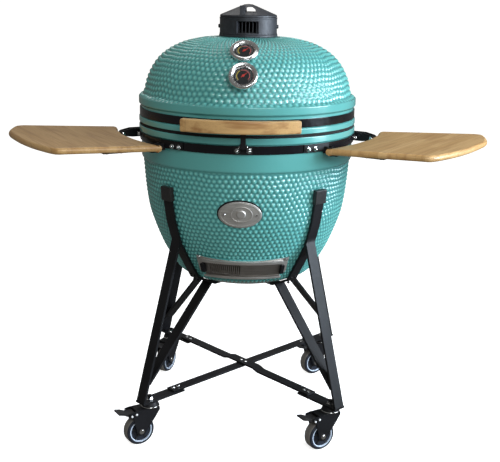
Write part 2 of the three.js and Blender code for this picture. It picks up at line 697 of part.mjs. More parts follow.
// ---------- assembly ----------
const glaze = { color: 0x5fb0a2, roughness: 0.18, metalness: 0 };
const blackSteel = { color: 0x1a1a1c, roughness: 0.45, metalness: 0.2 };
const castIron = { color: 0x202022, roughness: 0.6, metalness: 0.3 };
const bamboo = { color: 0xc9a878, roughness: 0.45, metalness: 0 };
const stainless = { color: 0x9a938c, roughness: 0.3, metalness: 0.9 };
const chrome = { color: 0xd8d8da, roughness: 0.12, metalness: 1 };
const felt = { color: 0x141414, roughness: 0.95, metalness: 0 };
const fireClay = { color: 0xb9a48c, roughness: 0.85, metalness: 0 };
const redPaint = { color: 0xc03028, roughness: 0.5, metalness: 0 };
const clearGlass = { color: 0xe8eef0, roughness: 0.05, metalness: 0 };
const wheelRubber = { color: 0x54504c, roughness: 0.7, metalness: 0 };

const parts = [];
const add = (name, solid, material) => parts.push({ name, solid, material });

add('bowl', bowlShape(), glaze);
add('dome', domeShape(), glaze);
add('bowl_gasket', tube(249, 273, BOWL_RIM + GASKET_GAP, PARTING_HEIGHT - GASKET_GAP), felt);
add('dome_gasket', tube(249, 273, PARTING_HEIGHT + GASKET_GAP, DOME_RIM - GASKET_GAP), felt);
add('fire_box', fireBox(), fireClay);
add('fire_ring', fireRing(), fireClay);
add('charcoal_grate', charcoalGrate(), castIron);
add('cooking_grate', cookingGrate(), stainless);
add('dome_band', band(DOME_BAND_BOTTOM), blackSteel);
add('bowl_band', band(BOWL_BAND_BOTTOM), blackSteel);
add('hinge_lower_bracket', hingeBracket(BOWL_BAND_BOTTOM, 52), blackSteel);
add('hinge_upper_bracket', hingeBracket(DOME_BAND_BOTTOM, 44), blackSteel);
add('hinge_pin', hingePin(), chrome);
add('hinge_spring_left', hingeSpring(-1), chrome);
add('hinge_spring_right', hingeSpring(1), chrome);
add('handle_grip', handleGrip(), bamboo);
add('handle_bracket_left', handleBracket(-1), blackSteel);
add('handle_bracket_right', handleBracket(1), blackSteel);
add('latch_bracket', latchBracket(), blackSteel);
add('latch_arm', latchArm(), blackSteel);
for (const which of Object.keys(thermometers)) {
  add(`thermometer_${which}_housing`, thermometerHousing(which), chrome);
  add(`thermometer_${which}_needle`, thermometerNeedle(which), redPaint);
  add(`thermometer_${which}_lens`, thermometerLens(which), clearGlass);
}
add('vent_base', ventBase(), castIron);
add('vent_sleeve', ventSleeve(), castIron);
add('vent_roof', ventRoof(), castIron);
add('draft_frame', draftFrame(), stainless);
add('draft_screen', draftScreen(), stainless);
add('draft_door', draftDoor(), stainless);
add('oval_plate', ovalPlate(), stainless);
for (const [sideName, side] of [['left', -1], ['right', 1]]) {
  add(`table_board_${sideName}`, tableBoard(side), bamboo);
  add(`table_support_${sideName}`, tableSupport(side), blackSteel);
  add(`table_bracket_${sideName}_front`, tableBracket(side, FRONT_KNUCKLE + 13, 31, 47, 738), blackSteel);
  add(`table_bracket_${sideName}_rear`, tableBracket(side, REAR_KNUCKLE, 88, 104, 736), blackSteel);
}
add('cradle_plate', cradlePlate(), blackSteel);
add('cross_bar_lower', lowerCrossBar(), blackSteel);
add('cross_bar_upper', upperCrossBar(), blackSteel);
for (const [backName, back] of [['front', -1], ['rear', 1]]) {
  for (const [sideName, right] of [['left', -1], ['right', 1]]) {
    const corner = `${backName}_${sideName}`;
    add(`leg_frame_${corner}`, legFrame(right, back), blackSteel);
    add(`caster_fork_${corner}`, casterFork(right, back), blackSteel);
    add(`caster_wheel_${corner}`, casterWheel(right, back), wheelRubber);
    add(`caster_pedal_${corner}`, casterPedal(right, back), blackSteel);
  }
}

const grill = new THREE.Group();
grill.name = 'kamado_grill';
for (const { name, solid, material } of parts) {
  const mesh = new THREE.Mesh(geometryOf(solid), new THREE.MeshStandardMaterial(material));
  mesh.name = name;
  grill.add(mesh);
}

export default grill;
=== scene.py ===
"""Looks of the kamado grill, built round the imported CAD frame.

Front is towards -Y. An azimuth is measured at the body axis, 0 at the front, positive towards +X.
"""
import math

import bmesh
import bpy
import numpy as np
from mathutils import Matrix, Vector


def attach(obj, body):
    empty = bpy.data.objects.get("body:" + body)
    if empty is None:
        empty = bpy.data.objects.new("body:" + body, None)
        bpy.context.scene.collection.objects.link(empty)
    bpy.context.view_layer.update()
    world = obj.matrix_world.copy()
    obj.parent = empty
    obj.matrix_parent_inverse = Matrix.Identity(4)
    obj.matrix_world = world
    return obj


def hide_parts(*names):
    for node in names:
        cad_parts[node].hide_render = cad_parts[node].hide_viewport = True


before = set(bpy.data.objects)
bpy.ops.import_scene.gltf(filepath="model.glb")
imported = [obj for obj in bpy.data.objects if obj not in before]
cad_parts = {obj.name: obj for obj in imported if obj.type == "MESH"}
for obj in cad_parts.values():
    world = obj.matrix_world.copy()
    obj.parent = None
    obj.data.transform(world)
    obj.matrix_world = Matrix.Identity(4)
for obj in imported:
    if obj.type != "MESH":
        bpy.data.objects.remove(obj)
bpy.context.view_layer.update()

MM = 0.001
SIDES = {"left": -1, "right": 1}
CORNERS = {
    "front_left": (-1, -1),
    "front_right": (1, -1),
    "rear_left": (-1, 1),
    "rear_right": (1, 1),
}

# ---------- sizes shared with the CAD, in millimetres ----------
BAND_OUTSIDE = 273.9
BOWL_RIM = 780.8
DOME_RIM = 788.2
PARTING = 784.5
HINGE = (317, 786)
HANDLE_TURN = -1
LEG_AZIMUTH = 43.5
STEM_FROM_AXIS = 329
FOOT_PLATE_TOP = 113
CROSS_BAR_TOP = 118.4
CROSSING_TOP = 123.8
WHEEL_RADIUS = 38
CASTER_TRAIL = 32
TABLE_HINGE_ANGLE = 60
TABLE_HINGE_DISTANCE = 277
TABLE_TOP = 753
TABLE_THICKNESS = 16
DRAFT_BOTTOM = 423
DRAFT_TOP = 473
DRAFT_RADIUS = 203
DRAFT_SLOPE = 0.4
DRAFT_REACH = 212
FRAME_BOW = 7
FRAME_HALF_WIDTH = 108
VENT_RADIUS = 72.5
VENT_FLOOR = 998.4
VENT_EAVE = 1046
BEZEL_RADIUS = 34
DIAL_RADIUS = 22.5
DIAL_FLOOR = 11

# ---------- light in the room, by the height of the direction ----------
ROOM_LIGHT = 0.36
ROOM_CLIMB = 0.05
ROOM_MIRRORED = 0.4


# ---------- node materials ----------
class Nodes:
    """A node tree: make() adds a node, and keywords are its inputs or its settings."""

    def __init__(self, tree):
        self.tree = tree

    def make(self, kind, output=0, **values):
        node = self.tree.nodes.new("ShaderNode" + kind)
        for key, value in values.items():
            if hasattr(node, key):
                setattr(node, key, value)
        for key, value in values.items():
            if not hasattr(node, key):
                self.feed(node.inputs[key.replace("_", " ")], value)
        return node.outputs[output]

    def feed(self, socket, value):
        if isinstance(value, bpy.types.NodeSocket):
            self.tree.links.new(value, socket)
        else:
            socket.default_value = value

    def math(self, operation, *values):
        node = self.tree.nodes.new("ShaderNodeMath")
        node.operation = operation
        for socket, value in zip(node.inputs, values):
            self.feed(socket, value)
        return node.outputs[0]


class Paint(Nodes):
    """A material of one Principled shader, whose inputs are keywords of set()."""

    def __init__(self, name):
        self.material = bpy.data.materials.new(name)
        self.material.use_nodes = True
        super().__init__(self.material.node_tree)
        self.shader = self.tree.nodes["Principled BSDF"]

    def set(self, **values):
        for key, value in values.items():
            self.feed(self.shader.inputs[key.replace("_", " ")], value)
        return self

    def place(self):
        return self.make("TexCoord", output=3)

    def stretched(self, scale, turn=0.0):
        """Object coordinates, turned about Z and scaled."""
        turned = self.make("Mapping", Vector=self.place(), Rotation=(0, 0, turn))
        return self.make("Mapping", Vector=turned, Scale=scale)

    def noise(self, scale, detail=3.0, vector=None, roughness=0.5):
        vector = vector or self.place()
        return self.make("TexNoise", Vector=vector, Scale=scale, Detail=detail, Roughness=roughness)

    def spread(self, value, low, high, start=0.3, end=0.7):
        """A value between start and end becomes one between low and high."""
        return self.make(
            "MapRange", Value=value, From_Min=start, From_Max=end, To_Min=low, To_Max=high
        )

    def mix(self, factor, first, second, blend="MIX"):
        node = self.tree.nodes.new("ShaderNodeMix")
        node.data_type = "RGBA"
        node.blend_type = blend
        self.feed(node.inputs[0], factor)
        self.feed(node.inputs[6], first)
        self.feed(node.inputs[7], second)
        return node.outputs[2]

    def bump(self, height, strength, distance):
        normal = self.make("Bump", Height=height, Strength=strength, Distance=distance)
        return self.set(Normal=normal)


def colour(red, green, blue):
    return (red, green, blue, 1.0)


def glaze():
    """Teal glaze, paler on the raised pebbles and with painted shade between them; on the smooth bands
    the darker colour is partly a thicker glaze and partly painted shade.
    """
    paint = Paint("teal_glaze")
    shade_and_glaze_depth = paint.make("Attribute", output=2, attribute_name="shade_and_glaze_depth")
    clouds = paint.spread(paint.noise(4.0), 0, 1)
    pale = paint.mix(clouds, colour(0.145, 0.465, 0.425), colour(0.175, 0.515, 0.475))
    # The deep shaded teal is painted shade between the pebbles; on the smooth bands it is partly a
    # thicker glaze and partly painted shade.
    clouds = paint.spread(paint.noise(9.0), 0, 1)
    deep_shaded_teal = paint.mix(clouds, colour(0.03, 0.18, 0.185), colour(0.045, 0.215, 0.22))
    shade_and_glaze_depth_mix = paint.mix(shade_and_glaze_depth, pale, deep_shaded_teal)
    fleck = paint.spread(paint.noise(900.0, 2.0), 0.0, 0.35, 0.62, 0.8)
    speckled = paint.mix(fleck, shade_and_glaze_depth_mix, colour(0.05, 0.22, 0.20))
    paint.set(Base_Color=speckled, Roughness=paint.spread(paint.noise(30.0), 0.16, 0.26))
    paint.set(Coat_Weight=0.5, Coat_Roughness=0.05, IOR=1.5)
    paint.bump(paint.noise(160.0, 2.0), 0.08, 0.0006)
    return paint.material


def mottled(name, first, second, tone, gloss, grain):
    """A clouded surface.

    tone is the clouds' scale, gloss the scale and range of the roughness, and grain the scale,
    strength and depth of the fine bumps.
    """
    paint = Paint(name)
    clouds = paint.spread(paint.noise(tone), 0, 1)
    paint.set(Base_Color=paint.mix(clouds, colour(*first), colour(*second)))
    scale, low, high = gloss
    paint.set(Roughness=paint.spread(paint.noise(scale), low, high))
    scale, strength, depth = grain
    paint.bump(paint.noise(scale, 2.0), strength, depth)
    return paint


def powder_coat():
    paint = mottled(
        "black_powder_coat", (0.005, 0.005, 0.006), (0.010, 0.010, 0.012),
        tone=14.0, gloss=(220.0, 0.40, 0.54), grain=(1100.0, 0.22, 0.0003),
    )
    return paint.set(Specular_IOR_Level=0.24).material


def band_enamel():
    paint = mottled(
        "black_band_enamel", (0.004, 0.004, 0.005), (0.007, 0.006, 0.009),
        tone=9.0, gloss=(90.0, 0.16, 0.24), grain=(600.0, 0.08, 0.0002),
    )
    return paint.set(Specular_IOR_Level=0.3).material


def cast_iron():
    paint = Paint("black_cast_iron")
    tone = paint.spread(paint.noise(40.0), 0, 1)
    paint.set(Base_Color=paint.mix(tone, colour(0.020, 0.021, 0.026), colour(0.034, 0.036, 0.044)))
    paint.set(Roughness=paint.spread(paint.noise(300.0), 0.42, 0.58), Metallic=0.15)
    grain = paint.math("ADD", paint.noise(700.0, 3.0), paint.noise(120.0, 2.0))
    paint.bump(grain, 0.35, 0.0005)
    return paint.material


def bamboo(name, turn, strip=0.021, streaky=0.55):
    """Laminated bamboo. Strips run along local Y after a turn about Z."""
    paint = Paint(name)
    turned = paint.make("Mapping", Vector=paint.place(), Rotation=(0, 0, turn))
    split = paint.tree.nodes.new("ShaderNodeSeparateXYZ")
    paint.feed(split.inputs[0], turned)
    across, along, up = split.outputs
    strip_number = paint.math("FLOOR", paint.math("DIVIDE", across, strip))
    shifted = paint.math("ADD", along, paint.math("MULTIPLY", strip_number, 0.137))
    piece_number = paint.math("FLOOR", paint.math("DIVIDE", shifted, 0.31))
    identity = paint.make("CombineXYZ", X=strip_number, Y=piece_number, Z=0.5)
    tone = paint.make("TexWhiteNoise", Vector=identity, noise_dimensions="3D")
    fibre_place = paint.make(
        "CombineXYZ",
        X=paint.math("MULTIPLY", across, 900.0),
        Y=paint.math("MULTIPLY", along, 14.0),
        Z=paint.math("MULTIPLY", up, 500.0),
    )
    fibre = paint.make("TexNoise", Vector=fibre_place, Scale=1.0, Detail=4.0, Roughness=0.6)
    wide_place = paint.make(
        "CombineXYZ",
        X=paint.math("MULTIPLY", across, 90.0),
        Y=paint.math("MULTIPLY", along, 6.0),
        Z=paint.math("MULTIPLY", up, 60.0),
    )
    streak = paint.make("TexNoise", Vector=wide_place, Scale=1.0, Detail=3.0)
    base = paint.mix(tone, colour(0.45, 0.262, 0.094), colour(0.55, 0.345, 0.145))
    streaked = paint.mix(
        paint.spread(streak, 0.0, streaky, 0.48, 0.66), base, colour(0.30, 0.145, 0.045)
    )
    fibred = paint.mix(
        paint.spread(fibre, 0.0, 0.45, 0.45, 0.75), streaked, colour(0.27, 0.14, 0.05)
    )
    edge = paint.math("PINGPONG", across, strip / 2)
    seam = paint.spread(edge, 0.55, 0.0, 0.0, 0.0006)
    jointed = paint.mix(seam, fibred, colour(0.26, 0.15, 0.065))
    paint.set(Base_Color=jointed, Roughness=paint.spread(fibre, 0.36, 0.52))
    paint.set(Coat_Weight=0.12, Coat_Roughness=0.3)
    paint.bump(fibre, 0.12, 0.0004)
    return paint.material


def brushed_steel():
    paint = Paint("brushed_steel")
    grain = paint.noise(1.0, 3.0, paint.stretched((25, 25, 1500)))
    blotch = paint.noise(18.0)
    tone = paint.mix(
        paint.spread(grain, 0, 1, 0.25, 0.75), colour(0.33, 0.305, 0.285), colour(0.52, 0.49, 0.46)
    )
    stained = paint.mix(paint.spread(blotch, 0.0, 0.35, 0.5, 0.75), tone, colour(0.25, 0.22, 0.20))
    paint.set(Base_Color=stained, Metallic=1.0, Roughness=paint.spread(grain, 0.26, 0.42))
    paint.bump(grain, 0.12, 0.0002)
    return paint.material


def satin_steel():
    """Pressed sheet with a soft sheen, brighter than the brushed panels."""
    paint = Paint("satin_steel")
    grain = paint.noise(1.0, 3.0, paint.stretched((30, 30, 900)))
    blotch = paint.spread(paint.noise(26.0), 0.0, 0.5, 0.5, 0.75)
    tone = paint.mix(
        paint.spread(grain, 0, 1, 0.25, 0.75), colour(0.50, 0.48, 0.455), colour(0.68, 0.66, 0.63)
    )
    paint.set(Base_Color=paint.mix(blotch, tone, colour(0.42, 0.40, 0.38)), Metallic=0.85)
    paint.set(Roughness=paint.spread(grain, 0.42, 0.56))
    paint.bump(grain, 0.12, 0.0002)
    return paint.material


def chrome(name="chrome", shade=0.82, rough=0.07):
    paint = Paint(name)
    smear = paint.spread(paint.noise(45.0), 0, 1)
    paint.set(
        Base_Color=paint.mix(
            smear, colour(shade, shade, shade), colour(shade - 0.08, shade - 0.08, shade - 0.07)
        ),
        Metallic=1.0,
        Roughness=paint.spread(paint.noise(120.0), rough, rough + 0.09),
    )
    paint.bump(paint.noise(260.0, 2.0), 0.04, 0.0002)
    return paint.material


def felt():
    paint = Paint("black_felt")
    fuzz = paint.noise(1400.0, 3.0)
    paint.set(Base_Color=paint.mix(fuzz, colour(0.004, 0.004, 0.004), colour(0.016, 0.016, 0.017)))
    paint.set(Roughness=paint.spread(fuzz, 0.88, 1.0))
    paint.bump(fuzz, 0.8, 0.0008)
    return paint.material


def fire_clay():
    paint = Paint("fire_clay")
    mottle = paint.spread(paint.noise(22.0), 0, 1)
    grit = paint.noise(500.0, 4.0)
    base = paint.mix(mottle, colour(0.46, 0.37, 0.27), colour(0.60, 0.50, 0.38))
    paint.set(
        Base_Color=paint.mix(paint.spread(grit, 0, 0.5, 0.55, 0.8), base, colour(0.24, 0.18, 0.12)),
        Roughness=paint.spread(grit, 0.82, 0.95),
    )
    paint.bump(grit, 0.5, 0.0008)
    return paint.material


def raw_ceramic():
    """The unglazed pale inside of the bowl and dome."""
    paint = Paint("raw_ceramic")
    mottle = paint.spread(paint.noise(11.0), 0, 1)
    paint.set(Base_Color=paint.mix(mottle, colour(0.50, 0.47, 0.40), colour(0.60, 0.57, 0.50)))
    paint.set(Roughness=paint.spread(paint.noise(300.0), 0.6, 0.8))
    paint.bump(paint.noise(400.0, 3.0), 0.3, 0.0006)
    return paint.material


def enamel(name, first, second, rough=0.35):
    """A plain painted or moulded surface with a faint mottle."""
    gloss = (420.0, rough, rough + 0.12)
    return mottled(name, first, second, tone=160.0, gloss=gloss, grain=(900.0, 0.1, 0.0002)).material


def tread_rubber():
    """Grey tread, scuffed in streaks around the wheel."""
    paint = Paint("grey_tread")
    scuff = paint.noise(260.0, 4.0)
    paint.set(Base_Color=paint.mix(scuff, colour(0.10, 0.092, 0.085), colour(0.19, 0.178, 0.165)))
    paint.set(Roughness=paint.spread(scuff, 0.6, 0.8))
    paint.bump(scuff, 0.25, 0.0005)
    return paint.material


def clear_glass():
    paint = Paint("clear_glass")
    smear = paint.spread(paint.noise(60.0), 0.02, 0.06)
    paint.set(Base_Color=colour(0.03, 0.035, 0.04), Roughness=smear, Alpha=0.12, IOR=1.5)
    return paint.material


GLAZE = glaze()
BLACK = powder_coat()
BAND = band_enamel()
IRON = cast_iron()
STEEL = brushed_steel()
SATIN = satin_steel()
CHROME = chrome()
BEZEL = chrome("bezel_chrome", 0.86, 0.2)
FELT = felt()
CLAY = fire_clay()
RAW = raw_ceramic()
GLASS = clear_glass()
TREAD = tread_rubber()
SIDEWALL = enamel("blue_black_sidewall", (0.010, 0.013, 0.022), (0.016, 0.020, 0.032), 0.4)
WHEEL_RING = enamel("pale_blue_ring", (0.48, 0.57, 0.70), (0.58, 0.66, 0.78), 0.35)
HUB = enamel("dark_hub", (0.012, 0.012, 0.013), (0.022, 0.020, 0.020), 0.35)
DIAL = enamel("dial_black", (0.012, 0.012, 0.013), (0.020, 0.020, 0.021), 0.3)
DIAL_YELLOW = enamel("dial_yellow", (0.50, 0.38, 0.06), (0.60, 0.46, 0.09), 0.4)
DIAL_RED = enamel("dial_red", (0.48, 0.12, 0.12), (0.56, 0.17, 0.16), 0.4)
DIAL_WHITE = enamel("dial_white", (0.62, 0.62, 0.60), (0.72, 0.72, 0.70), 0.4)
NEEDLE_RED = enamel("needle_red", (0.62, 0.03, 0.02), (0.70, 0.05, 0.03), 0.35)
RIVET = enamel("white_rivet", (0.75, 0.76, 0.78), (0.85, 0.86, 0.88), 0.25)
HANDLE_BAMBOO = bamboo("bamboo_handle", math.pi / 2, strip=0.05, streaky=0.95)
TABLE_BAMBOO = {
    side: bamboo(f"bamboo_table_{side}", -sign * math.radians(TABLE_HINGE_ANGLE - 90))
    for side, sign in SIDES.items()
}


# ---------- shapes ----------
def rounded(points, radius, closed=True, steps=3):
    """Cuts the corners of a polyline with small arcs."""
    result = []
    count = len(points)
    for i, point in enumerate(points):
        if not closed and i in (0, count - 1):
            result.append(tuple(point))
            continue
        here = Vector(point)
        before = Vector(points[i - 1]) - here
        after = Vector(points[(i + 1) % count]) - here
        if before.length < 1e-6 or after.length < 1e-6 or abs(before.angle(after) - math.pi) < 0.25:
            result.append(tuple(point))
            continue
        reach = min(radius, before.length * 0.45, after.length * 0.45)
        start = here + before.normalized() * reach
        end = here + after.normalized() * reach
        for step in range(steps + 1):
            t = step / steps
            result.append(tuple(start * (1 - t) ** 2 + here * 2 * t * (1 - t) + end * t * t))
    return result


def smooth_line(points, spacing):
    """A Catmull-Rom curve through the points, resampled at an even spacing."""
    points = np.array(points, float)
    padded = np.vstack([2 * points[0] - points[1], points, 2 * points[-1] - points[-2]])
    dense = []
    for i in range(1, len(padded) - 2):
        a, b, c, d = padded[i - 1 : i + 3]
        for t in np.linspace(0, 1, 24, endpoint=False):
            dense.append(
                0.5 * (2 * b + (c - a) * t + (2 * a - 5 * b + 4 * c - d) * t**2)
                + 0.5 * (3 * b - a - 3 * c + d) * t**3
            )
    dense = np.array(dense + [points[-1]])
    length = np.concatenate([[0], np.cumsum(np.linalg.norm(np.diff(dense, axis=0), axis=1))])
    count = max(2, round(length[-1] / spacing) + 1)
    wanted = np.linspace(0, length[-1], count)
    return np.column_stack([np.interp(wanted, length, dense[:, k]) for k in range(2)])


def ellipse(x, y, width, height, steps=64):
    return [
        (x + width * math.cos(math.tau * i / steps), y + height * math.sin(math.tau * i / steps))
        for i in range(steps)
    ]


class Shape:
    """Closed bodies gathered in one mesh, in millimetres."""

    def __init__(self):
        self.vertices = []
        self.faces = []
        self.slots = []

    def add(self, vertices, faces, place=None, slot=0):
        start = len(self.vertices)
        place = place or Matrix.Identity(4)
        self.vertices += [tuple(place @ Vector(v)) for v in vertices]
        self.faces += [tuple(start + i for i in face) for face in faces]
        self.slots += [slot] * len(faces)
        return self

    def skin(self, rings, place=None, slot=0, joined=False):
        """Faces between rings of points, each ring a full loop or a single point.

        The last ring joins the first, or else each end that isn't a single point is capped.
        """
        count = max(len(ring) for ring in rings)
        vertices = []
        loops = []
        for ring in rings:
            start = len(vertices)
            vertices += ring
            loops.append([start] * count if len(ring) == 1 else list(range(start, start + count)))
        faces = []
        for low, high in zip(loops, loops[1:] + (loops[:1] if joined else [])):
            for i in range(count):
                k = (i + 1) % count
                face = list(dict.fromkeys([low[i], low[k], high[k], high[i]]))
                if len(face) > 2:
                    faces.append(face)
        if not joined:
            faces += [loop for loop in (loops[0][::-1], loops[-1]) if loop[0] != loop[-1]]
        return self.add(vertices, faces, place, slot)

    def revolve(self, profile, place=None, steps=64, closed=False, slot=0):
        """Turns (radius, height) points about local Z.

        A closed profile runs round to its first point. An open one starts and ends at radius 0.
        """
        rings = []
        for radius, height in profile:
            circle = ellipse(0, 0, radius, radius, steps) if radius > 1e-6 else [(0, 0)]
            rings.append([(x, y, height) for x, y in circle])
        return self.skin(rings, place, slot, closed)

    def prism(self, outline, low, high, place=None, slot=0):
        """A straight-sided block over a local XY outline."""
        return self.skin([[(x, y, z) for x, y in outline] for z in (low, high)], place, slot)

    def block(self, size, middle, place=None, slot=0, corner=0.0):
        """A box over local axes, with rounded upright edges if corner is given."""
        x, y, z = (length / 2 for length in size)
        outline = [(-x, -y), (x, -y), (x, y), (-x, y)]
        if corner:
            outline = rounded(outline, corner)
        outline = [(middle[0] + a, middle[1] + b) for a, b in outline]
        return self.prism(outline, middle[2] - z, middle[2] + z, place, slot)

    def tube(self, path, radius, sides=12, slot=0):
        """A round bar along a path of points."""
        path = [Vector(p) for p in path]
        rings = []
        across = Vector((0, 0, 1)).cross(path[1] - path[0])
        if across.length < 1e-6:
            across = Vector((1, 0, 0))
        across.normalize()
        for i, point in enumerate(path):
            ahead = path[min(i + 1, len(path) - 1)] - path[max(i - 1, 0)]
            ahead.normalize()
            across = (across - ahead * across.dot(ahead)).normalized()
            beside = ahead.cross(across)
            circle = ellipse(0, 0, radius, radius, sides)
            rings.append([point + across * x + beside * y for x, y in circle])
        return self.skin(rings, None, slot)

    def finish(self, name, body, materials, slot, replaces=(), bevel=0.0):
        """Makes the gathered bodies one piece that rides on a body of the part."""
        mesh = bpy.data.meshes.new(name)
        mesh.from_pydata([tuple(c * MM for c in v) for v in self.vertices], [], self.faces)
        mesh.polygons.foreach_set("material_index", self.slots)
        return dress(mesh, name, body, materials, replaces, bevel)


def dress(mesh, name, body, materials, replaces=(), bevel=0.0):
    """Turns a mesh in metres into a shaded piece that rides on a body."""
    shell = bmesh.new()
    shell.from_mesh(mesh)
    bmesh.ops.recalc_face_normals(shell, faces=shell.faces)
    shell.to_mesh(mesh)
    shell.free()
    for material in materials if isinstance(materials, (list, tuple)) else [materials]:
        mesh.materials.append(material)
    mesh.polygons.foreach_set("use_smooth", [True] * len(mesh.polygons))
    piece = bpy.data.objects.new(name, mesh)
    bpy.context.scene.collection.objects.link(piece)
    if bevel:
        edge = piece.modifiers.new("edges", "BEVEL")
        edge.width = bevel * MM
        edge.segments = 3
        edge.limit_method = "ANGLE"
        edge.angle_limit = math.radians(38)
    else:
        mesh.set_sharp_from_angle(angle=math.radians(38))
    shading = piece.modifiers.new("shading", "WEIGHTED_NORMAL")
    shading.keep_sharp = True
    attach(piece, body)
    if replaces:
        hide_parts(*replaces)
    return piece


def from_cad(node, body, material, bevel=0.6):
    """A piece with a CAD node's shape, its flat faces joined and its edges eased."""
    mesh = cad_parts[node].data.copy()
    mesh.materials.clear()
    shell = bmesh.new()
    shell.from_mesh(mesh)
    bmesh.ops.remove_doubles(shell, verts=shell.verts, dist=2e-6)
    bmesh.ops.dissolve_limit(
        shell, angle_limit=math.radians(0.6), verts=shell.verts, edges=shell.edges
    )
    shell.to_mesh(mesh)
    shell.free()
    mesh.polygons.foreach_set("material_index", [0] * len(mesh.polygons))
    return dress(mesh, node + "_finished", body, material, [node], bevel)


def at(x, y, z):
    return Matrix.Translation((x, y, z))


def facing(point, direction):
    """Local Z along a direction, with the origin at a point."""
    turn = Vector(direction).to_track_quat("Z", "Y").to_matrix().to_4x4()
    return at(*point) @ turn


def outward(azimuth, radius, height):
    """Local Z out of the body, X around it and Y up, at a point about the body axis."""
    a = math.radians(azimuth)
    out = Vector((math.sin(a), -math.cos(a), 0))
    around = Vector((math.cos(a), math.sin(a), 0))
    up = Vector((0, 0, 1))
    turn = Matrix((around, up, out)).transposed().to_4x4()
    return at(*(out * radius + up * height)) @ turn


def out_of_body(point):
    """As outward(), at a point given as x, y, z."""
    x, y, z = point
    return outward(math.degrees(math.atan2(x, -y)), math.hypot(x, y), z)


def acorn_nut(shape, place, size, slot=0):
    """A domed nut on a washer, standing along local Z."""
    washer = [(0, 0), (size * 1.15, 0), (size * 1.15, 0.9), (size * 0.9, 1.3), (0, 1.3)]
    shape.revolve(washer, place, 24, slot=slot)
    shape.revolve(
        [(0, 1.2), (size, 1.2), (size, size * 0.7), (size * 0.9, size * 0.85), (0, size * 0.85)],
        place, 6, slot=slot,
    )
    dome = [(0, size * 0.7), (size * 0.78, size * 0.7)]
    for i in range(1, 6):
        angle = math.radians(18 * i)
        dome.append((size * 0.78 * math.cos(angle), size * (0.85 + 0.72 * math.sin(angle))))
    dome[-1] = (0, dome[-1][1])
    shape.revolve(dome, place, 20, slot=slot)


def hex_bolt(shape, place, size):
    """A hexagon head on a washer, standing along local Z."""
    washer = [(0, 0), (size * 1.3, 0), (size * 1.3, 0.8), (size * 1.1, 1.2), (0, 1.2)]
    shape.revolve(washer, place, 24)
    head = [(0, 1.1), (size, 1.1), (size, size * 0.62), (size * 0.88, size * 0.75), (0, size * 0.75)]
    shape.revolve(head, place, 6)


def pan_screw(shape, place, size):
    """A low round head with a round socket, standing along local Z."""
    head = [(0, 0), (1, 0), (1, 0.25), (0.8, 0.5), (0.3, 0.6), (0.22, 0.35), (0, 0.35)]
    shape.revolve([(radius * size, height * size) for radius, height in head], place, 24)


def round_wall(azimuth, height, radius):
    a = math.radians(azimuth)
    return (radius * math.sin(a), -radius * math.cos(a), height)


# ---------- glazed ceramic ----------
PEBBLE_LIFT = 1.9
# SMOOTH_SHADE is how dark the smooth bands are painted, partly for a thicker glaze and partly as painted
# shade.
SMOOTH_SHADE = 0.58


def ripple(angle, height, seed):
    """A smooth wandering value around the body, used to make the pebbles a little uneven."""
    waves = [(5, 0.011), (9, -0.019), (14, 0.031), (23, -0.043)]
    total = 0
    for order, (turns, climb) in enumerate(waves):
        total = total + np.sin(turns * angle + climb * height + seed * (order + 1.7))
    return total / len(waves)


def smooth_step(value):
    return value * value * (3 - 2 * value)


def frame_rise(degrees):
    """How far the bowed edges of the draft frame rise at an azimuth."""
    beside = DRAFT_REACH * np.sin(np.radians(degrees))
    return FRAME_BOW * (beside / FRAME_HALF_WIDTH) ** 2


def draft_pad(angle, height, radius, weight):
    """The smooth pad behind the draft frame: how far it bulges, and the pebbles it leaves."""
    signed = np.degrees(np.where(angle > math.pi, angle - math.tau, angle))
    beside = np.abs(signed)
    side = np.clip((32 - beside) / 2.5, 0, 1)
    reach = np.clip((height - 402) / 14, 0, 1) * np.clip((476 - height) / 6, 0, 1)
    cone = DRAFT_RADIUS + (height - DRAFT_BOTTOM) * DRAFT_SLOPE - 0.9
    bulge = smooth_step(side) * smooth_step(reach) * np.maximum(0, cone - radius)
    rise = frame_rise(signed)
    framed = (beside < 29.5) & (height > 418 + rise) & (height < 470 + rise)
    return bulge, np.where(framed, 0.0, weight)


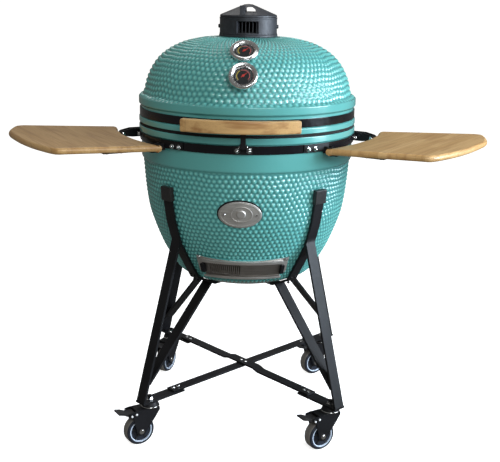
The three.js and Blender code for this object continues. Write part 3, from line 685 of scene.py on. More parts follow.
def ceramic(name, body, node, outer, inner, around, pitch, texture, opening=None):
    """A thick shell with raised pebbles in staggered rows between two heights of the outside.

    outer and inner are (radius, height) rows: outer from bottom to rim, inner from rim to bottom.
    A shell with a draft opening has a floor, and one without is a ring, open at both ends.
    """
    columns = around * 6
    angle = np.arange(columns) * math.tau / columns
    radius, height = outer[:, 0], outer[:, 1]
    step = np.gradient(outer, axis=0)
    step /= np.linalg.norm(step, axis=1)[:, None]
    length = np.concatenate([[0], np.cumsum(np.linalg.norm(np.diff(outer, axis=0), axis=1))])
    low, high = texture
    fade = np.clip((height - low) / 5, 0, 1) * np.clip((high - height) / 5, 0, 1)
    a, h = np.meshgrid(angle, height)
    beside = around * a + 0.9 * ripple(a, h, 1.0)
    above = math.pi * length[:, None] / pitch + 0.9 * ripple(a, h, 4.0)
    honeycomb = (2 * np.cos(beside) * np.cos(above) + np.cos(2 * above)) / 3
    rows = 2 * np.clip((honeycomb + 0.5) / 1.5, 0, 1) ** 0.7 - 1
    weight = np.repeat(fade[:, None], columns, axis=1)
    bulge = np.zeros_like(a)
    if opening:
        bulge, weight = draft_pad(a, h, radius[:, None], weight)
    lift = PEBBLE_LIFT * weight * rows
    out_r = radius[:, None] + step[:, 1][:, None] * lift + bulge
    out_z = h - step[:, 0][:, None] * lift
    in_a, in_z = np.meshgrid(angle, inner[:, 1])
    in_r = np.repeat(inner[:, 0][:, None], columns, axis=1)
    all_a = np.vstack([a, in_a])
    all_r = np.vstack([out_r, in_r])
    all_z = np.vstack([out_z, in_z])
    points = np.stack([all_r * np.sin(all_a), -all_r * np.cos(all_a), all_z], axis=-1)
    # Painted shade, darkest between the pebbles; the smooth bands take SMOOTH_SHADE, partly a thicker
    # glaze and partly painted shade.
    shade_and_glaze_depth_mix = 0.5 * weight * (1 - rows) + SMOOTH_SHADE * (1 - weight)
    shade_and_glaze_depth = np.vstack([shade_and_glaze_depth_mix, np.zeros_like(in_a)])
    loops = len(points)
    quads = []
    for i in range(loops - 1 if opening else loops):
        k = (i + 1) % loops
        for j in range(columns):
            if opening and in_opening(i, j, columns, opening):
                continue
            n = (j + 1) % columns
            quads.append((i * columns + j, i * columns + n, k * columns + n, k * columns + j))
    vertices = points.reshape(-1, 3)
    slots = [0 if q[0] // columns < len(outer) + 1 else 1 for q in quads]
    shade = shade_and_glaze_depth.reshape(-1)
    if opening:
        centres = np.array([[0, 0, all_z[0, 0]], [0, 0, all_z[-1, 0]]])
        vertices = np.vstack([vertices, centres])
        shade = np.concatenate([shade, [0.2, 0.0]])
        last = (loops - 1) * columns
        for j in range(columns):
            n = (j + 1) % columns
            quads.append((loops * columns, n, j))
            quads.append((loops * columns + 1, last + j, last + n))
            slots += [0, 1]
        sides = tunnel(columns, opening)
        quads += sides
        slots += [1] * len(sides)
    mesh = bpy.data.meshes.new(name)
    mesh.from_pydata((vertices * MM).tolist(), [], quads)
    mesh.polygons.foreach_set("material_index", slots)
    # The glaze colour reads this per-vertex painted shade, with thicker glaze mixed in on the smooth
    # bands.
    layer = mesh.attributes.new("shade_and_glaze_depth", "FLOAT", "POINT")
    layer.data.foreach_set("value", shade.astype(np.float32))
    return dress(mesh, name, body, [GLAZE, RAW], [node])


def in_opening(row, column, columns, opening):
    """True for a cell of the shell that the draft opening cuts away."""
    half, outer_span, inner_span = opening
    beside = min(column, columns - 1 - column)
    if beside >= half:
        return False
    return outer_span[0] <= row < outer_span[1] or inner_span[0] <= row < inner_span[1]


def tunnel(columns, opening):
    """The four walls that join the outer and inner edges of the draft opening."""
    half, (low, high), (top, bottom) = opening
    across = [j % columns for j in range(-half, half + 1)]
    quads = []
    for outside, inside in ((high, top), (low, bottom)):
        for here, there in zip(across, across[1:]):
            quads.append([(outside, here), (outside, there), (inside, there), (inside, here)])
    for i in range(high - low):
        for edge in (across[0], across[-1]):
            rows = (low + i, low + i + 1, bottom - i - 1, bottom - i)
            quads.append([(row, edge) for row in rows])
    return [tuple(row * columns + column for row, column in quad) for quad in quads]


BOWL_TEXTURED = [
    (150, 394.2), (163, 400.4), (176.5, 411), (208, 460), (224.5, 495), (238, 530), (249, 565),
    (256, 605), (260.5, 645), (264, 692),
]
DOME_TEXTURED = [
    (273.6, 852.4), (262.6, 860.8), (253.5, 895), (239, 925), (219, 950), (191.4, 970),
    (159, 984), (118, 993), (76, 998),
]


def bowl():
    pitch = 11.3
    side = smooth_line(BOWL_TEXTURED, pitch / 6)
    collar = rounded(
        [(264, 692), (264.4, 695.5), (268.9, 699), (269.8, 701.5), (269.8, 738), (270.5, 741),
         (270.5, 764), (275.6, 766), (275.6, BOWL_RIM), (249, BOWL_RIM)],
        2.0, closed=False, steps=4,
    )
    foot = np.array([(60, 384.9), (112, 384.9), (128, 385.6), (139, 389)])
    outer = np.vstack([foot, side, np.array(collar[1:])])
    inside = smooth_line(
        [(245, BOWL_RIM), (237, 690), (226, 590), (203, 515), (183, 475), (150, 440), (118, 418)],
        14,
    )
    low = int(np.argmin(np.abs(outer[:, 1] - 431)))
    high = int(np.argmin(np.abs(outer[:, 1] - 463)))
    lines = np.linspace(outer[high, 1], outer[low, 1], high - low + 1)
    middle = np.column_stack([np.interp(lines, inside[::-1, 1], inside[::-1, 0]), lines])
    above = inside[inside[:, 1] > lines[0] + 3]
    below = inside[inside[:, 1] < lines[-1] - 3]
    inner = np.vstack([above, middle, below, [(60, 418)]])
    around = 122
    half = round(23.2 / 360 * around * 6)
    top = len(outer) + len(above)
    opening = (half, (low, high), (top, top + high - low))
    return ceramic(
        "bowl_ceramic", "grill", "bowl", outer, inner, around, pitch, (402, 696), opening
    )


def dome():
    pitch = 12.6
    side = smooth_line(DOME_TEXTURED, pitch / 6)
    collar = rounded(
        [(249, DOME_RIM), (275.6, DOME_RIM), (275.6, 801), (270.5, 803), (270.5, 829), (275.8, 834),
         (275.8, 850.4), (273.6, 852.4)],
        1.8, closed=False, steps=4,
    )
    crown = np.array([(66, 998.2), (56, 997.5), (54, 995)])
    outer = np.vstack([np.array(collar[:-1]), side, crown])
    inner = np.vstack([
        [(54, 971)],
        smooth_line(
            [(60, 971), (110, 967), (184, 943), (226, 893), (245, 830), (245, DOME_RIM)], 14
        ),
    ])
    return ceramic("dome_ceramic", "lid", "dome", outer, inner, 108, pitch, (850.5, 999))


def hoop(inside, outside, low, high, edge, steps):
    """A ring of rectangular section round the body axis, with eased edges."""
    section = [(inside, low), (outside, low), (outside, high), (inside, high)]
    return Shape().revolve(rounded(section, edge), steps=steps, closed=True)


def band_and_gaskets():
    for name, body, node, bottom in (
        ("dome_band_strap", "lid", "dome_band", 803.5),
        ("bowl_band_strap", "grill", "bowl_band", 743),
    ):
        strap = hoop(BAND_OUTSIDE - 3, BAND_OUTSIDE, bottom, bottom + 20, 0.8, 256)
        strap.finish(name, body, BAND, "black_steel", [node])
    for name, body, node, low, high in (
        ("bowl_felt", "grill", "bowl_gasket", BOWL_RIM + 0.2, PARTING - 0.2),
        ("dome_felt", "lid", "dome_gasket", PARTING + 0.2, DOME_RIM - 0.2),
    ):
        hoop(249, 273.6, low, high, 1.2, 256).finish(name, body, FELT, "felt", [node])


# ---------- lid hinge, handle and latch ----------
def lid_hinge():
    from_cad("hinge_lower_bracket", "grill", BLACK)
    from_cad("hinge_upper_bracket", "lid", BLACK)
    pin = Shape()
    along_x = facing((-66, *HINGE), (1, 0, 0))
    half = [(0, 0), (6.5, 0), (8, 1.2), (8, 4.6), (5, 5)]
    pin.revolve(half + [(r, 132 - z) for r, z in half[::-1]], along_x, 32)
    pin.finish("hinge_pin_turned", "grill", CHROME, "chrome", ["hinge_pin"])
    for side, sign in SIDES.items():
        turns = 6
        path = []
        for i in range(turns * 20 + 1):
            angle = math.tau * i / 20
            path.append((
                sign * (5.5 + 28.5 * i / (turns * 20)),
                HINGE[0] + 8.0 * math.cos(angle),
                HINGE[1] + 8.0 * math.sin(angle),
            ))
        spring = Shape().tube(path, 1.7, 10)
        spring.finish(f"hinge_coil_{side}", "grill", CHROME, "chrome", [f"hinge_spring_{side}"])
    nut_heights = {"grill": 753, "lid": 813.5}
    for body, height in nut_heights.items():
        shape = Shape()
        for azimuth in (171.5, 188.5):
            acorn_nut(shape, outward(azimuth, BAND_OUTSIDE + 3.3, height), 4.6)
        shape.finish(f"hinge_nuts_{body}", body, CHROME, "chrome")


def handle():
    section = rounded([(309, 797), (327, 797), (327, 827), (309, 827)], 4.5, steps=5)
    middle = np.mean(section, axis=0)
    rounded_end = [(25, 0.90), (24.86, 0.96), (24.6, 1.0)]
    stations = [(-degrees, shrink) for degrees, shrink in rounded_end]
    stations += [(-24 + 1.5 * i, 1.0) for i in range(33)]
    stations += rounded_end[::-1]
    rings = []
    for degrees, shrink in stations:
        ring = middle + (np.array(section) - middle) * shrink
        rings.append([round_wall(degrees + HANDLE_TURN, z, r) for r, z in ring])
    grip = Shape().skin(rings)
    grip.finish("handle_slat", "lid", HANDLE_BAMBOO, "bamboo", ["handle_grip"])
    for side, sign in SIDES.items():
        from_cad(f"handle_bracket_{side}", "lid", BLACK)
        screws = Shape()
        pan_screw(screws, outward(sign * 17.3 + HANDLE_TURN, BAND_OUTSIDE + 3.4, 813.5), 3.6)
        screws.finish(f"handle_screw_{side}", "lid", CHROME, "chrome")


def latch():
    from_cad("latch_bracket", "grill", BLACK, 0.5)
    from_cad("latch_arm", "latch_arm", BLACK, 0.8)
    nuts = Shape()
    for x in (-12.5, 15):
        acorn_nut(nuts, outward(math.degrees(math.asin(x / 277)), BAND_OUTSIDE + 3.3, 752.5), 5.2)
    nuts.finish("latch_nuts", "grill", CHROME, "chrome")
    pivot = Shape()
    for side in (-1, 1):
        pan_screw(pivot, facing((1 + side * 8.4, -284.5, 763), (side, 0, 0)), 3.2)
    pivot.finish("latch_pivot_heads", "grill", CHROME, "chrome")


# ---------- thermometers ----------
THERMOMETERS = {"lower": (34, -252, 916), "upper": (52, -194, 966)}


def on_dial(tilt, y, z):
    """Local Z out of the dial and Y towards twelve o'clock."""
    return at(-2, y, z) @ Matrix.Rotation(math.radians(90 - tilt), 4, "X")


def arc_strip(shape, place, inner, outer, start, end, low, high, slot):
    """A flat strip round a dial, between two clock angles in degrees from twelve."""
    steps = max(2, int(abs(end - start) / 5))
    rim = []
    for radius, order in ((outer, range(steps + 1)), (inner, range(steps, -1, -1))):
        for i in order:
            angle = math.radians(90 - (start + (end - start) * i / steps))
            rim.append((radius * math.cos(angle), radius * math.sin(angle)))
    shape.prism(rim, low, high, place, slot)


def disc(shape, place, radius, low, high, steps=64, slot=0):
    """A flat round plate on local Z."""
    return shape.revolve([(0, low), (radius, low), (radius, high), (0, high)], place, steps, slot=slot)


def thermometer(which):
    tilt, y, z = THERMOMETERS[which]
    place = on_dial(tilt, y, z)
    housing = Shape()
    bezel = rounded(
        [(0, -13), (25, -13), (25, 5), (BEZEL_RADIUS - 3, 5.5), (BEZEL_RADIUS, 9), (BEZEL_RADIUS, 13),
         (BEZEL_RADIUS - 3, 17), (DIAL_RADIUS + 3, 15), (DIAL_RADIUS + 0.6, DIAL_FLOOR + 0.4),
         (DIAL_RADIUS, DIAL_FLOOR), (0, DIAL_FLOOR)],
        1.6, closed=False, steps=4,
    )
    housing.revolve(bezel, place, 96)
    housing.revolve([(0, -60), (3.2, -60), (3.5, -58), (3.5, -12), (0, -12)], place, 24)
    housing.finish(
        f"thermometer_{which}_bezel", "lid", BEZEL, "chrome", [f"thermometer_{which}_housing"]
    )
    dial = disc(Shape(), place, DIAL_RADIUS - 0.3, DIAL_FLOOR + 0.02, DIAL_FLOOR + 0.2)
    low, high = DIAL_FLOOR + 0.18, DIAL_FLOOR + 0.3
    arc_strip(dial, place, 13.8, 15.9, -135, -28, low, high, 1)
    arc_strip(dial, place, 13.8, 15.9, -20, 130, low, high, 2)
    for i in range(28):
        start = -135 + i * 10
        reach = 17.2 if i % 3 else 16.8
        arc_strip(dial, place, reach, 19.2, start - 0.9, start + 0.9, low, high, 3)
    printing = [DIAL, DIAL_YELLOW, DIAL_RED, DIAL_WHITE]
    dial.finish(f"thermometer_{which}_dial", "lid", printing, "chrome")
    needle = Shape()
    turned = place @ Matrix.Rotation(math.radians(-48), 4, "Z")
    low, high = DIAL_FLOOR + 0.4, DIAL_FLOOR + 1.8
    hub = rounded([(0, low), (3, low), (3, high), (0, high)], 0.4, closed=False)
    needle.revolve(hub, turned, 32)
    pointer = [(-1.0, -6), (1.0, -6), (0.8, 8), (0, 14.5), (-0.8, 8)]
    needle.prism(pointer, DIAL_FLOOR + 0.45, DIAL_FLOOR + 1.2, turned)
    needle.finish(
        f"thermometer_{which}_pointer", f"{which}_needle", NEEDLE_RED, "red_paint",
        [f"thermometer_{which}_needle"],
    )
    domed = [(0, 2.3), (21.6, 2.3), (21.6, 2.9), (20, 3.3), (11, 3.5), (0, 3.6)]
    lens = Shape().revolve([(radius, DIAL_FLOOR + rise) for radius, rise in domed], place, 64)
    lens.finish(
        f"thermometer_{which}_glass", "lid", GLASS, "clear_glass", [f"thermometer_{which}_lens"]
    )


# ---------- a wall with openings ----------
def spaced(start, end, count):
    """The ends of count equal steps, the start among them."""
    return [start + (end - start) * i / count for i in range(count + 1)]


def pierced(shape, place, across, up, holes, thickness, closed=False):
    """A sheet in (across, up) coordinates with rectangular openings cut through it.

    place(u, v, w) gives the point at depth w. closed joins the last column to the first.
    """
    across = sorted({round(u, 5) for u in [*across, *(u for hole in holes for u in hole[:2])]})
    up = sorted({round(v, 5) for v in [*up, *(v for hole in holes for v in hole[2:])]})
    columns = len(across) if closed else len(across) - 1
    rows = len(up) - 1

    def solid(i, j):
        if not (0 <= j < rows):
            return False
        if not closed and not (0 <= i < columns):
            return False
        i %= columns
        ahead = across[i + 1] if i + 1 < len(across) else across[0] + 360
        u, v = (across[i] + ahead) / 2, (up[j] + up[j + 1]) / 2
        return not any(h[0] < u < h[1] and h[2] < v < h[3] for h in holes)

    used = {}
    vertices = []

    def corner(i, j, k):
        key = (i % len(across), j, k)
        if key not in used:
            used[key] = len(vertices)
            vertices.append(place(across[key[0]], up[j], thickness[k]))
        return used[key]

    walls = {
        (-1, 0): [(0, 0, 0), (0, 0, 1), (0, 1, 1), (0, 1, 0)],
        (1, 0): [(1, 0, 1), (1, 0, 0), (1, 1, 0), (1, 1, 1)],
        (0, -1): [(0, 0, 0), (1, 0, 0), (1, 0, 1), (0, 0, 1)],
        (0, 1): [(0, 1, 1), (1, 1, 1), (1, 1, 0), (0, 1, 0)],
    }
    outside = [(0, 0, 1), (1, 0, 1), (1, 1, 1), (0, 1, 1)]
    inside = [(0, 1, 0), (1, 1, 0), (1, 0, 0), (0, 0, 0)]
    faces = []
    for i in range(columns):
        for j in range(rows):
            if not solid(i, j):
                continue
            cell = [outside, inside]
            cell += [wall for (di, dj), wall in walls.items() if not solid(i + di, j + dj)]
            faces += [[corner(i + a, j + b, k) for a, b, k in face] for face in cell]
    return shape.add(vertices, faces)


# ---------- top vent ----------
def vent():
    base = Shape()
    base.revolve(
        rounded([(44, 974), (52, 974), (52, VENT_FLOOR), (73.5, VENT_FLOOR), (73.5, 1004), (58, 1004),
                 (58, 1001.5), (44, 1001.5)], 1.2),
        steps=96, closed=True,
    )
    slots = [(8 * i - 3.3, 8 * i + 3.3, 1009, 1036) for i in range(-2, 3)]
    round_the_wall = spaced(-90, 270, 120)[:-1]
    pierced(base, round_wall, round_the_wall, [1003.5, VENT_EAVE], slots, (58, 64), closed=True)
    base.finish("vent_base_casting", "lid", IRON, "cast_iron", ["vent_base"])

    sleeve = Shape()
    window = (-21, 21, 1008, 1037)
    wall = (64.8, VENT_RADIUS - 0.6)
    pierced(sleeve, round_wall, round_the_wall, [1004.4, 1045.4], [window], wall, closed=True)
    for bottom, top in ((1004.4, 1007.6), (1041.6, 1045.4)):
        rim = rounded([(68, bottom), (VENT_RADIUS, bottom), (VENT_RADIUS, top), (68, top)], 0.8)
        sleeve.revolve(rim, steps=96, closed=True)
    for sign in (-1, 1):
        knob = facing((sign * 68, 0, 1023), (sign, 0, 0))
        sleeve.revolve([(0, 0), (5, 0), (5, 6), (4, 7.4), (2.4, 7.8), (0, 7.8)], knob, 24)
    for edge in (-22.5, 22.5):
        sleeve.block((1.6, 30, 2.4), (0, 0, 0), outward(edge, VENT_RADIUS - 0.2, 1022.5))
    sleeve.finish("vent_sleeve_casting", "vent_sleeve", IRON, "cast_iron", ["vent_sleeve"])

    from_cad("vent_roof", "lid", IRON, 0.9)


# ---------- draft door ----------
def draft_point(u, v, w):
    """u is the azimuth, v the height and w the distance out of the cone the panels slide on."""
    return round_wall(u, v, DRAFT_RADIUS + (v - DRAFT_BOTTOM) * DRAFT_SLOPE + w)


def draft_frame_point(u, v, w):
    """As draft_point, with v from 0 to 1 between the bowed lower and upper edges of the frame."""
    rise = frame_rise(u)
    low = DRAFT_BOTTOM + 2.0 * rise
    high = DRAFT_TOP + rise
    return draft_point(u, low + (high - low) * v, w)


def draft_door():
    sheet = Shape()
    window = (-22, 22, 0.22, 0.76)
    pierced(sheet, draft_frame_point, spaced(-30.2, 30.2, 60), [0, 0.5, 1], [window], (0.1, 1.9))
    top, foot = DRAFT_TOP - 1, DRAFT_BOTTOM + 1.5
    for low, high, depth in (
        (top - 3, top, (1, 10.4)),
        (foot, foot + 3, (1, 10.4)),
        (top - 7, top, (8.8, 10.5)),
        (foot, foot + 5.5, (8.8, 10.5)),
    ):
        pierced(sheet, draft_point, spaced(-26, 26, 52), [low, high], [], depth)
    sheet.finish("draft_frame_pressed", "grill", SATIN, "stainless", ["draft_frame"], bevel=0.35)
    screws = Shape()
    for azimuth in (-28.4, 28.4):
        pan_screw(screws, out_of_body(draft_point(azimuth, 476, 2.0)), 4.2)
    screws.finish("draft_frame_screws", "grill", CHROME, "chrome")

    heights = [428.2, 448, 468.2]
    screen = Shape()
    slits = [(-21.4 + 1.3 * i, -20.8 + 1.3 * i, 434, 462.5) for i in range(16)]
    pierced(screen, draft_point, [*spaced(-25.5, 0, 51), 0.4], heights, slits, (2.6, 4.0))
    screen.finish(
        "draft_screen_pressed", "draft_screen", STEEL, "stainless", ["draft_screen"], bevel=0.2
    )
    door = Shape()
    pierced(door, draft_point, spaced(-0.4, 25.5, 30), heights, [], (5.4, 6.8))
    door.finish("draft_door_pressed", "draft_door", STEEL, "stainless", ["draft_door"], bevel=0.3)
    for name, middle, depth in (("draft_screen", -25.6, 3.0), ("draft_door", 25.6, 6.0)):
        grip = Shape()
        edges = spaced(middle - 1.1, middle + 1.1, 2)
        pierced(grip, draft_point, edges, [437, 449, 461], [], (depth, 15))
        grip.finish(name + "_grip", name, BLACK, "black_steel", bevel=0.5)


# ---------- oval plate ----------
PLATE_MIDDLE = (-5.5, 596.5)
OVAL_STEPS = 72


def bowl_radius(height):
    radii, heights = np.array(BOWL_TEXTURED).T
    return float(np.interp(height, heights, radii))


def on_bowl(x, z, lift):
    radius = bowl_radius(z) + lift
    return (x, -math.sqrt(radius**2 - x**2), z)


def oval_layer(shape, width, height, low, high, edge, middle=PLATE_MIDDLE):
    """An oval pad that follows the bowl, with an eased rim."""
    rim = 1 - edge / height
    levels = [(share, high) for share in (0, 0.25, 0.5, 0.75, rim)]
    levels += [(rim + (1 - rim) * 0.6, high - edge * 0.3), (1, high - edge), (1, low)]
    levels += [(0.5, low), (0, low)]
    rings = []
    for share, lift in levels:
        oval = ellipse(*middle, width * share, height * share, OVAL_STEPS) if share else [middle]
        rings.append([on_bowl(x, z, lift) for x, z in oval])
    shape.skin(rings)


def oval_ring(shape, width, height, low, high, thick, middle=PLATE_MIDDLE):
    """A raised oval line on the plate."""
    section = [(-thick, low), (-thick * 0.6, high), (thick * 0.6, high), (thick, low)]
    ovals = []
    for shift, lift in section:
        oval = ellipse(*middle, width + shift, height + shift, OVAL_STEPS)
        ovals.append([on_bowl(x, z, lift) for x, z in oval])
    shape.skin(ovals, joined=True)


def oval_plate():
    # A black oval sheet, larger than the plate and set up and to the left, so a dark crescent shows above
    # the plate's top edge.
    backing = Shape()
    oval_layer(backing, 54.2, 35.2, 0.4, 2.2, 0.5, middle=(-6.2, 598.2))
    backing.finish("oval_plate_backing", "grill", BLACK, "stainless")
    plate = Shape()
    oval_layer(plate, 52, 33, 1.2, 3.6, 1.4)
    oval_ring(plate, 47, 28.5, 3.3, 4.4, 1.0)
    oval_layer(plate, 12, 11, 3.2, 7.0, 3.4, middle=(-3, 598))
    oval_ring(plate, 25, 19, 3.3, 5.2, 1.6, middle=(-2, 597))
    plate.finish("oval_plate_pressed", "grill", SATIN, "stainless", ["oval_plate"])
    screws = Shape()
    for x in (-43, 34):
        pan_screw(screws, out_of_body(on_bowl(x, 596, 3.6)), 3.4)
    screws.finish("oval_plate_screws", "grill", CHROME, "chrome")


# ---------- side tables ----------
TABLE_OUTLINE = [
    (7, -84), (12, -60), (17, -22), (21, 27), (20, 101), (12, 150), (5, 190), (-5, 215), (-12, 240),
    (-9, 251), (205, 362), (222, 362), (236, 350), (262, 296), (273, 255), (276, 200), (276, 135),
    (270, 65), (257, 0), (248, -30), (238, -43), (222, -46), (14, -93), (8, -91),
]


def table_place(sign):
    angle = math.radians(TABLE_HINGE_ANGLE)
    foot = at(TABLE_HINGE_DISTANCE * math.sin(angle), -TABLE_HINGE_DISTANCE * math.cos(angle), 0)
    turned = foot @ Matrix.Rotation(angle - math.pi / 2, 4, "Z")
    return Matrix.Diagonal((sign, 1, 1, 1)) @ turned


def board_outline():
    """The plan of a board with its long curves smoothed and its corners eased."""
    line = []
    corners = (0, 9, 10, 21, 24)
    for start, end in zip(corners, corners[1:]):
        stretch = (TABLE_OUTLINE + TABLE_OUTLINE[:1])[start : end + 1]
        curve = smooth_line(stretch, 12).tolist() if len(stretch) > 2 else stretch
        line += [tuple(point) for point in curve[:-1]]
    return line


def inset(outline, amount):
    """An anticlockwise outline moved inwards by an amount."""
    result = []
    for i, here in enumerate(outline):
        before = Vector(here) - Vector(outline[i - 1])
        after = Vector(outline[(i + 1) % len(outline)]) - Vector(here)
        along = (before.normalized() + after.normalized()).normalized()
        result.append((here[0] - along.y * amount, here[1] + along.x * amount))
    return result


def slab(shape, outline, low, high, edge, place):
    """A board with a half-round edge all the way round."""
    area = sum(a[0] * b[1] - b[0] * a[1] for a, b in zip(outline, outline[1:] + outline[:1]))
    if area < 0:
        outline = outline[::-1]
    rings = []
    for i in range(6):
        angle = math.radians(18 * i)
        rings.append((edge * (1 - math.sin(angle)), edge * (1 - math.cos(angle))))
    levels = [(shrink, low + rise) for shrink, rise in rings]
    levels += [(shrink, high - rise) for shrink, rise in rings[::-1]]
    shape.skin([[(x, y, z) for x, y in inset(outline, shrink)] for shrink, z in levels], place)


def side_table(side, sign):
    place = table_place(sign)
    board = Shape()
    slab(board, board_outline(), TABLE_TOP - TABLE_THICKNESS, TABLE_TOP, 7.6, place)
    board.finish(
        f"table_board_{side}_laminated", f"{side}_table", TABLE_BAMBOO[side], "bamboo",
        [f"table_board_{side}"],
    )
    from_cad(f"table_support_{side}", f"{side}_table", BLACK, 0.7)
    screws = Shape()
    for along in (-40, 171):
        for out in (34, 82, 118):
            spot = place @ Vector((out, along, 732.6))
            pan_screw(screws, facing(spot, (0, 0, -1)), 3.6)
    screws.finish(f"table_screws_{side}", f"{side}_table", CHROME, "chrome")
    nuts = Shape()
    for azimuth, height in ((33.2, 751), (37.4, 751), (91, 746), (97, 750)):
        acorn_nut(nuts, outward(sign * azimuth, BAND_OUTSIDE + 3.3, height), 5.0)
    nuts.finish(f"table_nuts_{side}", "grill", CHROME, "chrome")
    pins = Shape()
    pin_head = [(0, 0), (4.6, 0), (4.6, 1.4), (3, 2.4), (0, 2.6)]
    for knuckle in (-67, 171):
        for end in (-1, 1):
            spot = place @ Vector((0, knuckle + end * 12.6, 745))
            tip = place @ Vector((0, knuckle + end * 20, 745))
            pins.revolve(pin_head, facing(spot, tip - spot), 20)
    pins.finish(f"table_pin_heads_{side}", "grill", CHROME, "chrome")
    for end in ("front", "rear"):
        from_cad(f"table_bracket_{side}_{end}", "grill", BLACK, 0.7)


# ---------- stand ----------
def leg_direction(right, back):
    """The level direction of a corner's leg plane, out from the body axis."""
    plane = math.radians(LEG_AZIMUTH)
    return Vector((right * math.sin(plane), back * math.cos(plane), 0))


def leg_place(right, back):
    """Local X outwards in the leg plane, Y across the bar and Z up."""
    out = leg_direction(right, back)
    return Matrix.Rotation(math.atan2(out.y, out.x), 4, "Z")


def stand():
    for corner, (right, back) in CORNERS.items():
        place = leg_place(right, back)
        from_cad(f"leg_frame_{corner}", "grill", BLACK, 0.9)
        cap = Shape()
        lean = place @ at(267.3, 0, 631) @ Matrix.Rotation(math.radians(4.5), 4, "Y")
        cap.block((12, 36, 35), (0, 0, 0), lean)
        cap.finish(f"bar_cap_{corner}", "grill", HUB, "black_steel", bevel=1.8)
        bolts = Shape()
        for out in (236, 252):
            hex_bolt(bolts, place @ at(out, 0, CROSS_BAR_TOP), 3.8)
        stem = place @ at(STEM_FROM_AXIS, 0, FOOT_PLATE_TOP)
        hex_bolt(bolts, stem, 7.4)
        bolts.revolve([(0, 3), (4.2, 3), (4.2, 9), (3.2, 10), (0, 10)], stem, 20)
        slope = Vector((57.5, 0, 98)).normalized()
        normal = Vector((slope.z, 0, -slope.x))
        for share in (0.06, 0.94):
            spot = Vector((170, 0, 395)).lerp(Vector((181, 0, 412)), share) + normal * 3
            for across in (-7, 7):
                seat = place @ (spot + Vector((0, across, 0)))
                acorn_nut(bolts, facing(seat, place.to_3x3() @ normal), 3.4, slot=1)
        bolts.finish(f"leg_fasteners_{corner}", "grill", [CHROME, BLACK], "chrome")
    cradle = hoop(40, 101, 380.4, 384.5, 0.8, 128)
    cradle.finish("cradle_plate_rounded", "grill", BLACK, "black_steel", ["cradle_plate"])
    from_cad("cross_bar_lower", "grill", BLACK, 0.7)
    from_cad("cross_bar_upper", "grill", BLACK, 0.7)
    centre = Shape()
    place = leg_place(1, -1)
    for out in (-9, 9):
        hex_bolt(centre, place @ at(out, 0, CROSSING_TOP), 3.8)
    centre.finish("cross_bar_bolts", "grill", CHROME, "chrome")


# ---------- casters ----------
def stem_place(right, back):
    """Local -X is the way the caster trails, with the stem at the origin."""
    stem = leg_direction(right, back) * STEM_FROM_AXIS
    yaw = 66 if right < 0 < back else 33
    return at(*stem) @ Matrix.Rotation(math.radians(yaw), 4, "Z")


def caster(corner, right, back):
    place = stem_place(right, back)
    axle = place @ at(-CASTER_TRAIL, 0, WHEEL_RADIUS) @ Matrix.Rotation(math.radians(90), 4, "X")
    from_cad(f"caster_fork_{corner}", f"{corner}_fork", BLACK, 0.8)
    from_cad(f"caster_pedal_{corner}", f"{corner}_pedal", HUB, 1.6)

    wheel = Shape()
    half = [(38, 8), (36.4, 11), (34, 13.6), (29, 13.2)]
    tread = [(radius, -across) for radius, across in half[::-1]] + half
    wheel.revolve(rounded(tread, 2.0), axle, 96, closed=True, slot=0)
    sidewall = [
        (0, 8), (36.2, 8), (36.2, 11.4), (34.3, 13.9), (29.6, 14.2), (28.4, 13.2), (28.2, 11.2),
        (26, 10.6), (12.5, 10.2), (11.5, 14.8), (0, 14.8),
    ]
    pale_ring = rounded([(26.6, 10), (29.4, 10), (29.4, 14.5), (26.6, 14.2)], 0.8)
    for sign in (-1, 1):
        face = axle @ Matrix.Rotation(0 if sign > 0 else math.pi, 4, "X")
        wheel.revolve(sidewall, face, 96, slot=1)
        wheel.revolve(pale_ring, face, 96, closed=True, slot=2)
        for i in range(5):
            spoke = face @ Matrix.Rotation(math.tau * i / 5, 4, "Z")
            wheel.block((3, 15, 3.4), (0, 19, 11.2), spoke, slot=3)
    wheel.finish(
        f"caster_wheel_{corner}_tyre", f"{corner}_wheel", [TREAD, SIDEWALL, WHEEL_RING, HUB],
        "wheel_rubber", [f"caster_wheel_{corner}"], bevel=0.5,
    )

    trim = Shape()
    rivet = [(0, 0), (2.9, 0), (2.6, 1.0), (1.5, 1.6), (0, 1.8)]
    for sign in (-1, 1):
        face = axle @ Matrix.Rotation(0 if sign > 0 else math.pi, 4, "X") @ at(0, 0, 19.3)
        hex_bolt(trim, face, 5.2)
        for x, z in ((-45, 87), (-57.5, 84.5)):
            spot = place @ at(x, -sign * 19.3, z) @ Matrix.Rotation(sign * math.pi / 2, 4, "X")
            trim.revolve(rivet, spot, 20, slot=1)
    race = rounded([(15, 95.2), (23.4, 95.2), (23.8, 97), (23, 98.6), (15, 98.6)], 0.8)
    trim.revolve(race, place, 64, closed=True)
    trim.finish(f"caster_trim_{corner}", f"{corner}_fork", [CHROME, RIVET], "chrome")


# ---------- inside the grill ----------
def inside():
    from_cad("fire_box", "grill", CLAY, 1.5)
    ring = rounded([(186, 600.5), (206, 600.5), (220, 690), (226, 750), (206, 750), (200, 690)], 3)
    Shape().revolve(ring, steps=160, closed=True).finish(
        "fire_ring_cast", "grill", CLAY, "fire_clay", ["fire_ring"]
    )
    from_cad("charcoal_grate", "grill", IRON, 1.2)
    grate = Shape()
    grate.revolve(ellipse(223, 753.6, 3.0, 3.0, 12), steps=144, closed=True)
    for x in range(-208, 209, 26):
        reach = math.sqrt(222**2 - x**2)
        grate.tube([(x, y, 754.6) for y in (-reach, 0, reach)], 2.2, 10)
    for y in (-95, 95):
        reach = math.sqrt(222**2 - y**2)
        grate.tube([(x, y, 752.6) for x in (-reach, 0, reach)], 2.0, 10)
    grate.finish("cooking_grate_rods", "cooking_grate", STEEL, "stainless", ["cooking_grate"])


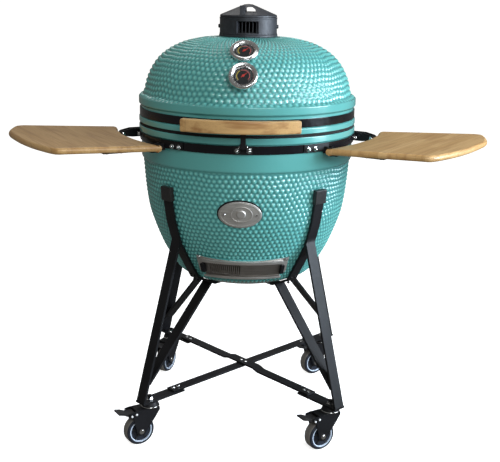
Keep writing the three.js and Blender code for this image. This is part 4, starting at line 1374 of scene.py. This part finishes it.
# ---------- stage, light and camera ----------
def stage():
    """A wide pale floor. It glows a little, and the grill doesn't mirror it."""
    reach = 400
    mesh = bpy.data.meshes.new("floor")
    corners = [(-reach, -reach, 0), (reach, -reach, 0), (reach, reach, 0), (-reach, reach, 0)]
    mesh.from_pydata(corners, [], [(0, 1, 2, 3)])
    paint = Paint("pale_floor")
    mottle = paint.spread(paint.noise(1.5), 0, 1)
    paint.set(Base_Color=paint.mix(mottle, colour(0.86, 0.86, 0.86), colour(0.88, 0.88, 0.88)))
    paint.set(Roughness=0.9, Specular_IOR_Level=0.0)
    paint.set(Emission_Color=colour(1, 1, 1), Emission_Strength=0.74)
    mesh.materials.append(paint.material)
    ground = bpy.data.objects.new("floor", mesh)
    ground.visible_diffuse = False
    ground.visible_glossy = False
    bpy.context.scene.collection.objects.link(ground)


def area_light(name, place, target, width, height, power, tint=(1, 1, 1)):
    lamp = bpy.data.lights.new(name, "AREA")
    lamp.shape = "RECTANGLE"
    lamp.size = width
    lamp.size_y = height
    lamp.energy = power
    lamp.color = tint
    holder = bpy.data.objects.new(name, lamp)
    bpy.context.scene.collection.objects.link(holder)
    holder.location = place
    holder.rotation_euler = (Vector(target) - Vector(place)).to_track_quat("-Z", "Y").to_euler()


def lights():
    """A dim room with a large window on the right and a soft lamp above the front."""
    world = bpy.data.worlds.new("studio")
    bpy.context.scene.world = world
    world.use_nodes = True
    sky = Nodes(world.node_tree)
    height = sky.make("SeparateXYZ", 2, Vector=sky.make("TexCoord"))
    level = sky.math("MULTIPLY_ADD", height, ROOM_CLIMB, ROOM_LIGHT)
    path = world.node_tree.nodes.new("ShaderNodeLightPath").outputs
    mirrored = sky.make("MapRange", Value=path["Is Glossy Ray"], To_Min=1.0, To_Max=ROOM_MIRRORED)
    strength = sky.math("MULTIPLY", level, mirrored)
    room = sky.make("Background", Color=colour(1.0, 0.98, 0.93), Strength=strength)
    backdrop = sky.make("Background", Color=colour(1, 1, 1))
    choice = world.node_tree.nodes.new("ShaderNodeMixShader")
    for socket, value in zip(choice.inputs, (path["Is Camera Ray"], room, backdrop)):
        sky.feed(socket, value)
    surface = world.node_tree.nodes["World Output"].inputs["Surface"]
    sky.feed(surface, choice.outputs[0])
    area_light("window_right", (2.7, -0.7, 1.7), (0, 0, 0.6), 1.9, 1.2, 92, (0.84, 0.91, 1.0))
    area_light("window_low", (2.65, -0.6, 1.0), (0, 0, 0.6), 1.0, 0.4, 60, (0.72, 0.86, 1.0))
    area_light("front_lamp", (0.7, -2.3, 1.9), (0, 0, 0.6), 1.1, 0.9, 31, (0.94, 0.99, 1.0))
    area_light("rear_fill", (-0.6, 2.0, 3.2), (0, 0, 0.7), 2.0, 1.4, 19)


def camera():
    """The photograph's viewpoint: in front, a little to the right and above the lid."""
    distance, height = 2.384, 1.108
    azimuth = math.radians(1.829)
    heading = math.radians(0.2901) - azimuth
    pitch = math.radians(14.49)
    forward = Vector((
        math.sin(heading) * math.cos(pitch), math.cos(heading) * math.cos(pitch), -math.sin(pitch)
    ))
    lens = bpy.data.cameras.new("camera")
    lens.sensor_width = 36
    lens.lens = 66.79
    holder = bpy.data.objects.new("camera", lens)
    bpy.context.scene.collection.objects.link(holder)
    place = Vector((distance * math.sin(azimuth), -distance * math.cos(azimuth), height))
    turn = forward.to_track_quat("-Z", "Y").to_matrix().to_4x4()
    holder.matrix_world = Matrix.Translation(place) @ turn @ Matrix.Rotation(math.radians(0.8976), 4, "Z")
    bpy.context.scene.camera = holder


# ---------- build ----------
camera()
stage()
lights()
bowl()
dome()
band_and_gaskets()
lid_hinge()
handle()
latch()
for which in THERMOMETERS:
    thermometer(which)
vent()
draft_door()
oval_plate()
for side, sign in SIDES.items():
    side_table(side, sign)
stand()
for corner, (right, back) in CORNERS.items():
    caster(corner, right, back)
inside()

bpy.context.scene.view_settings.view_transform = "Standard"
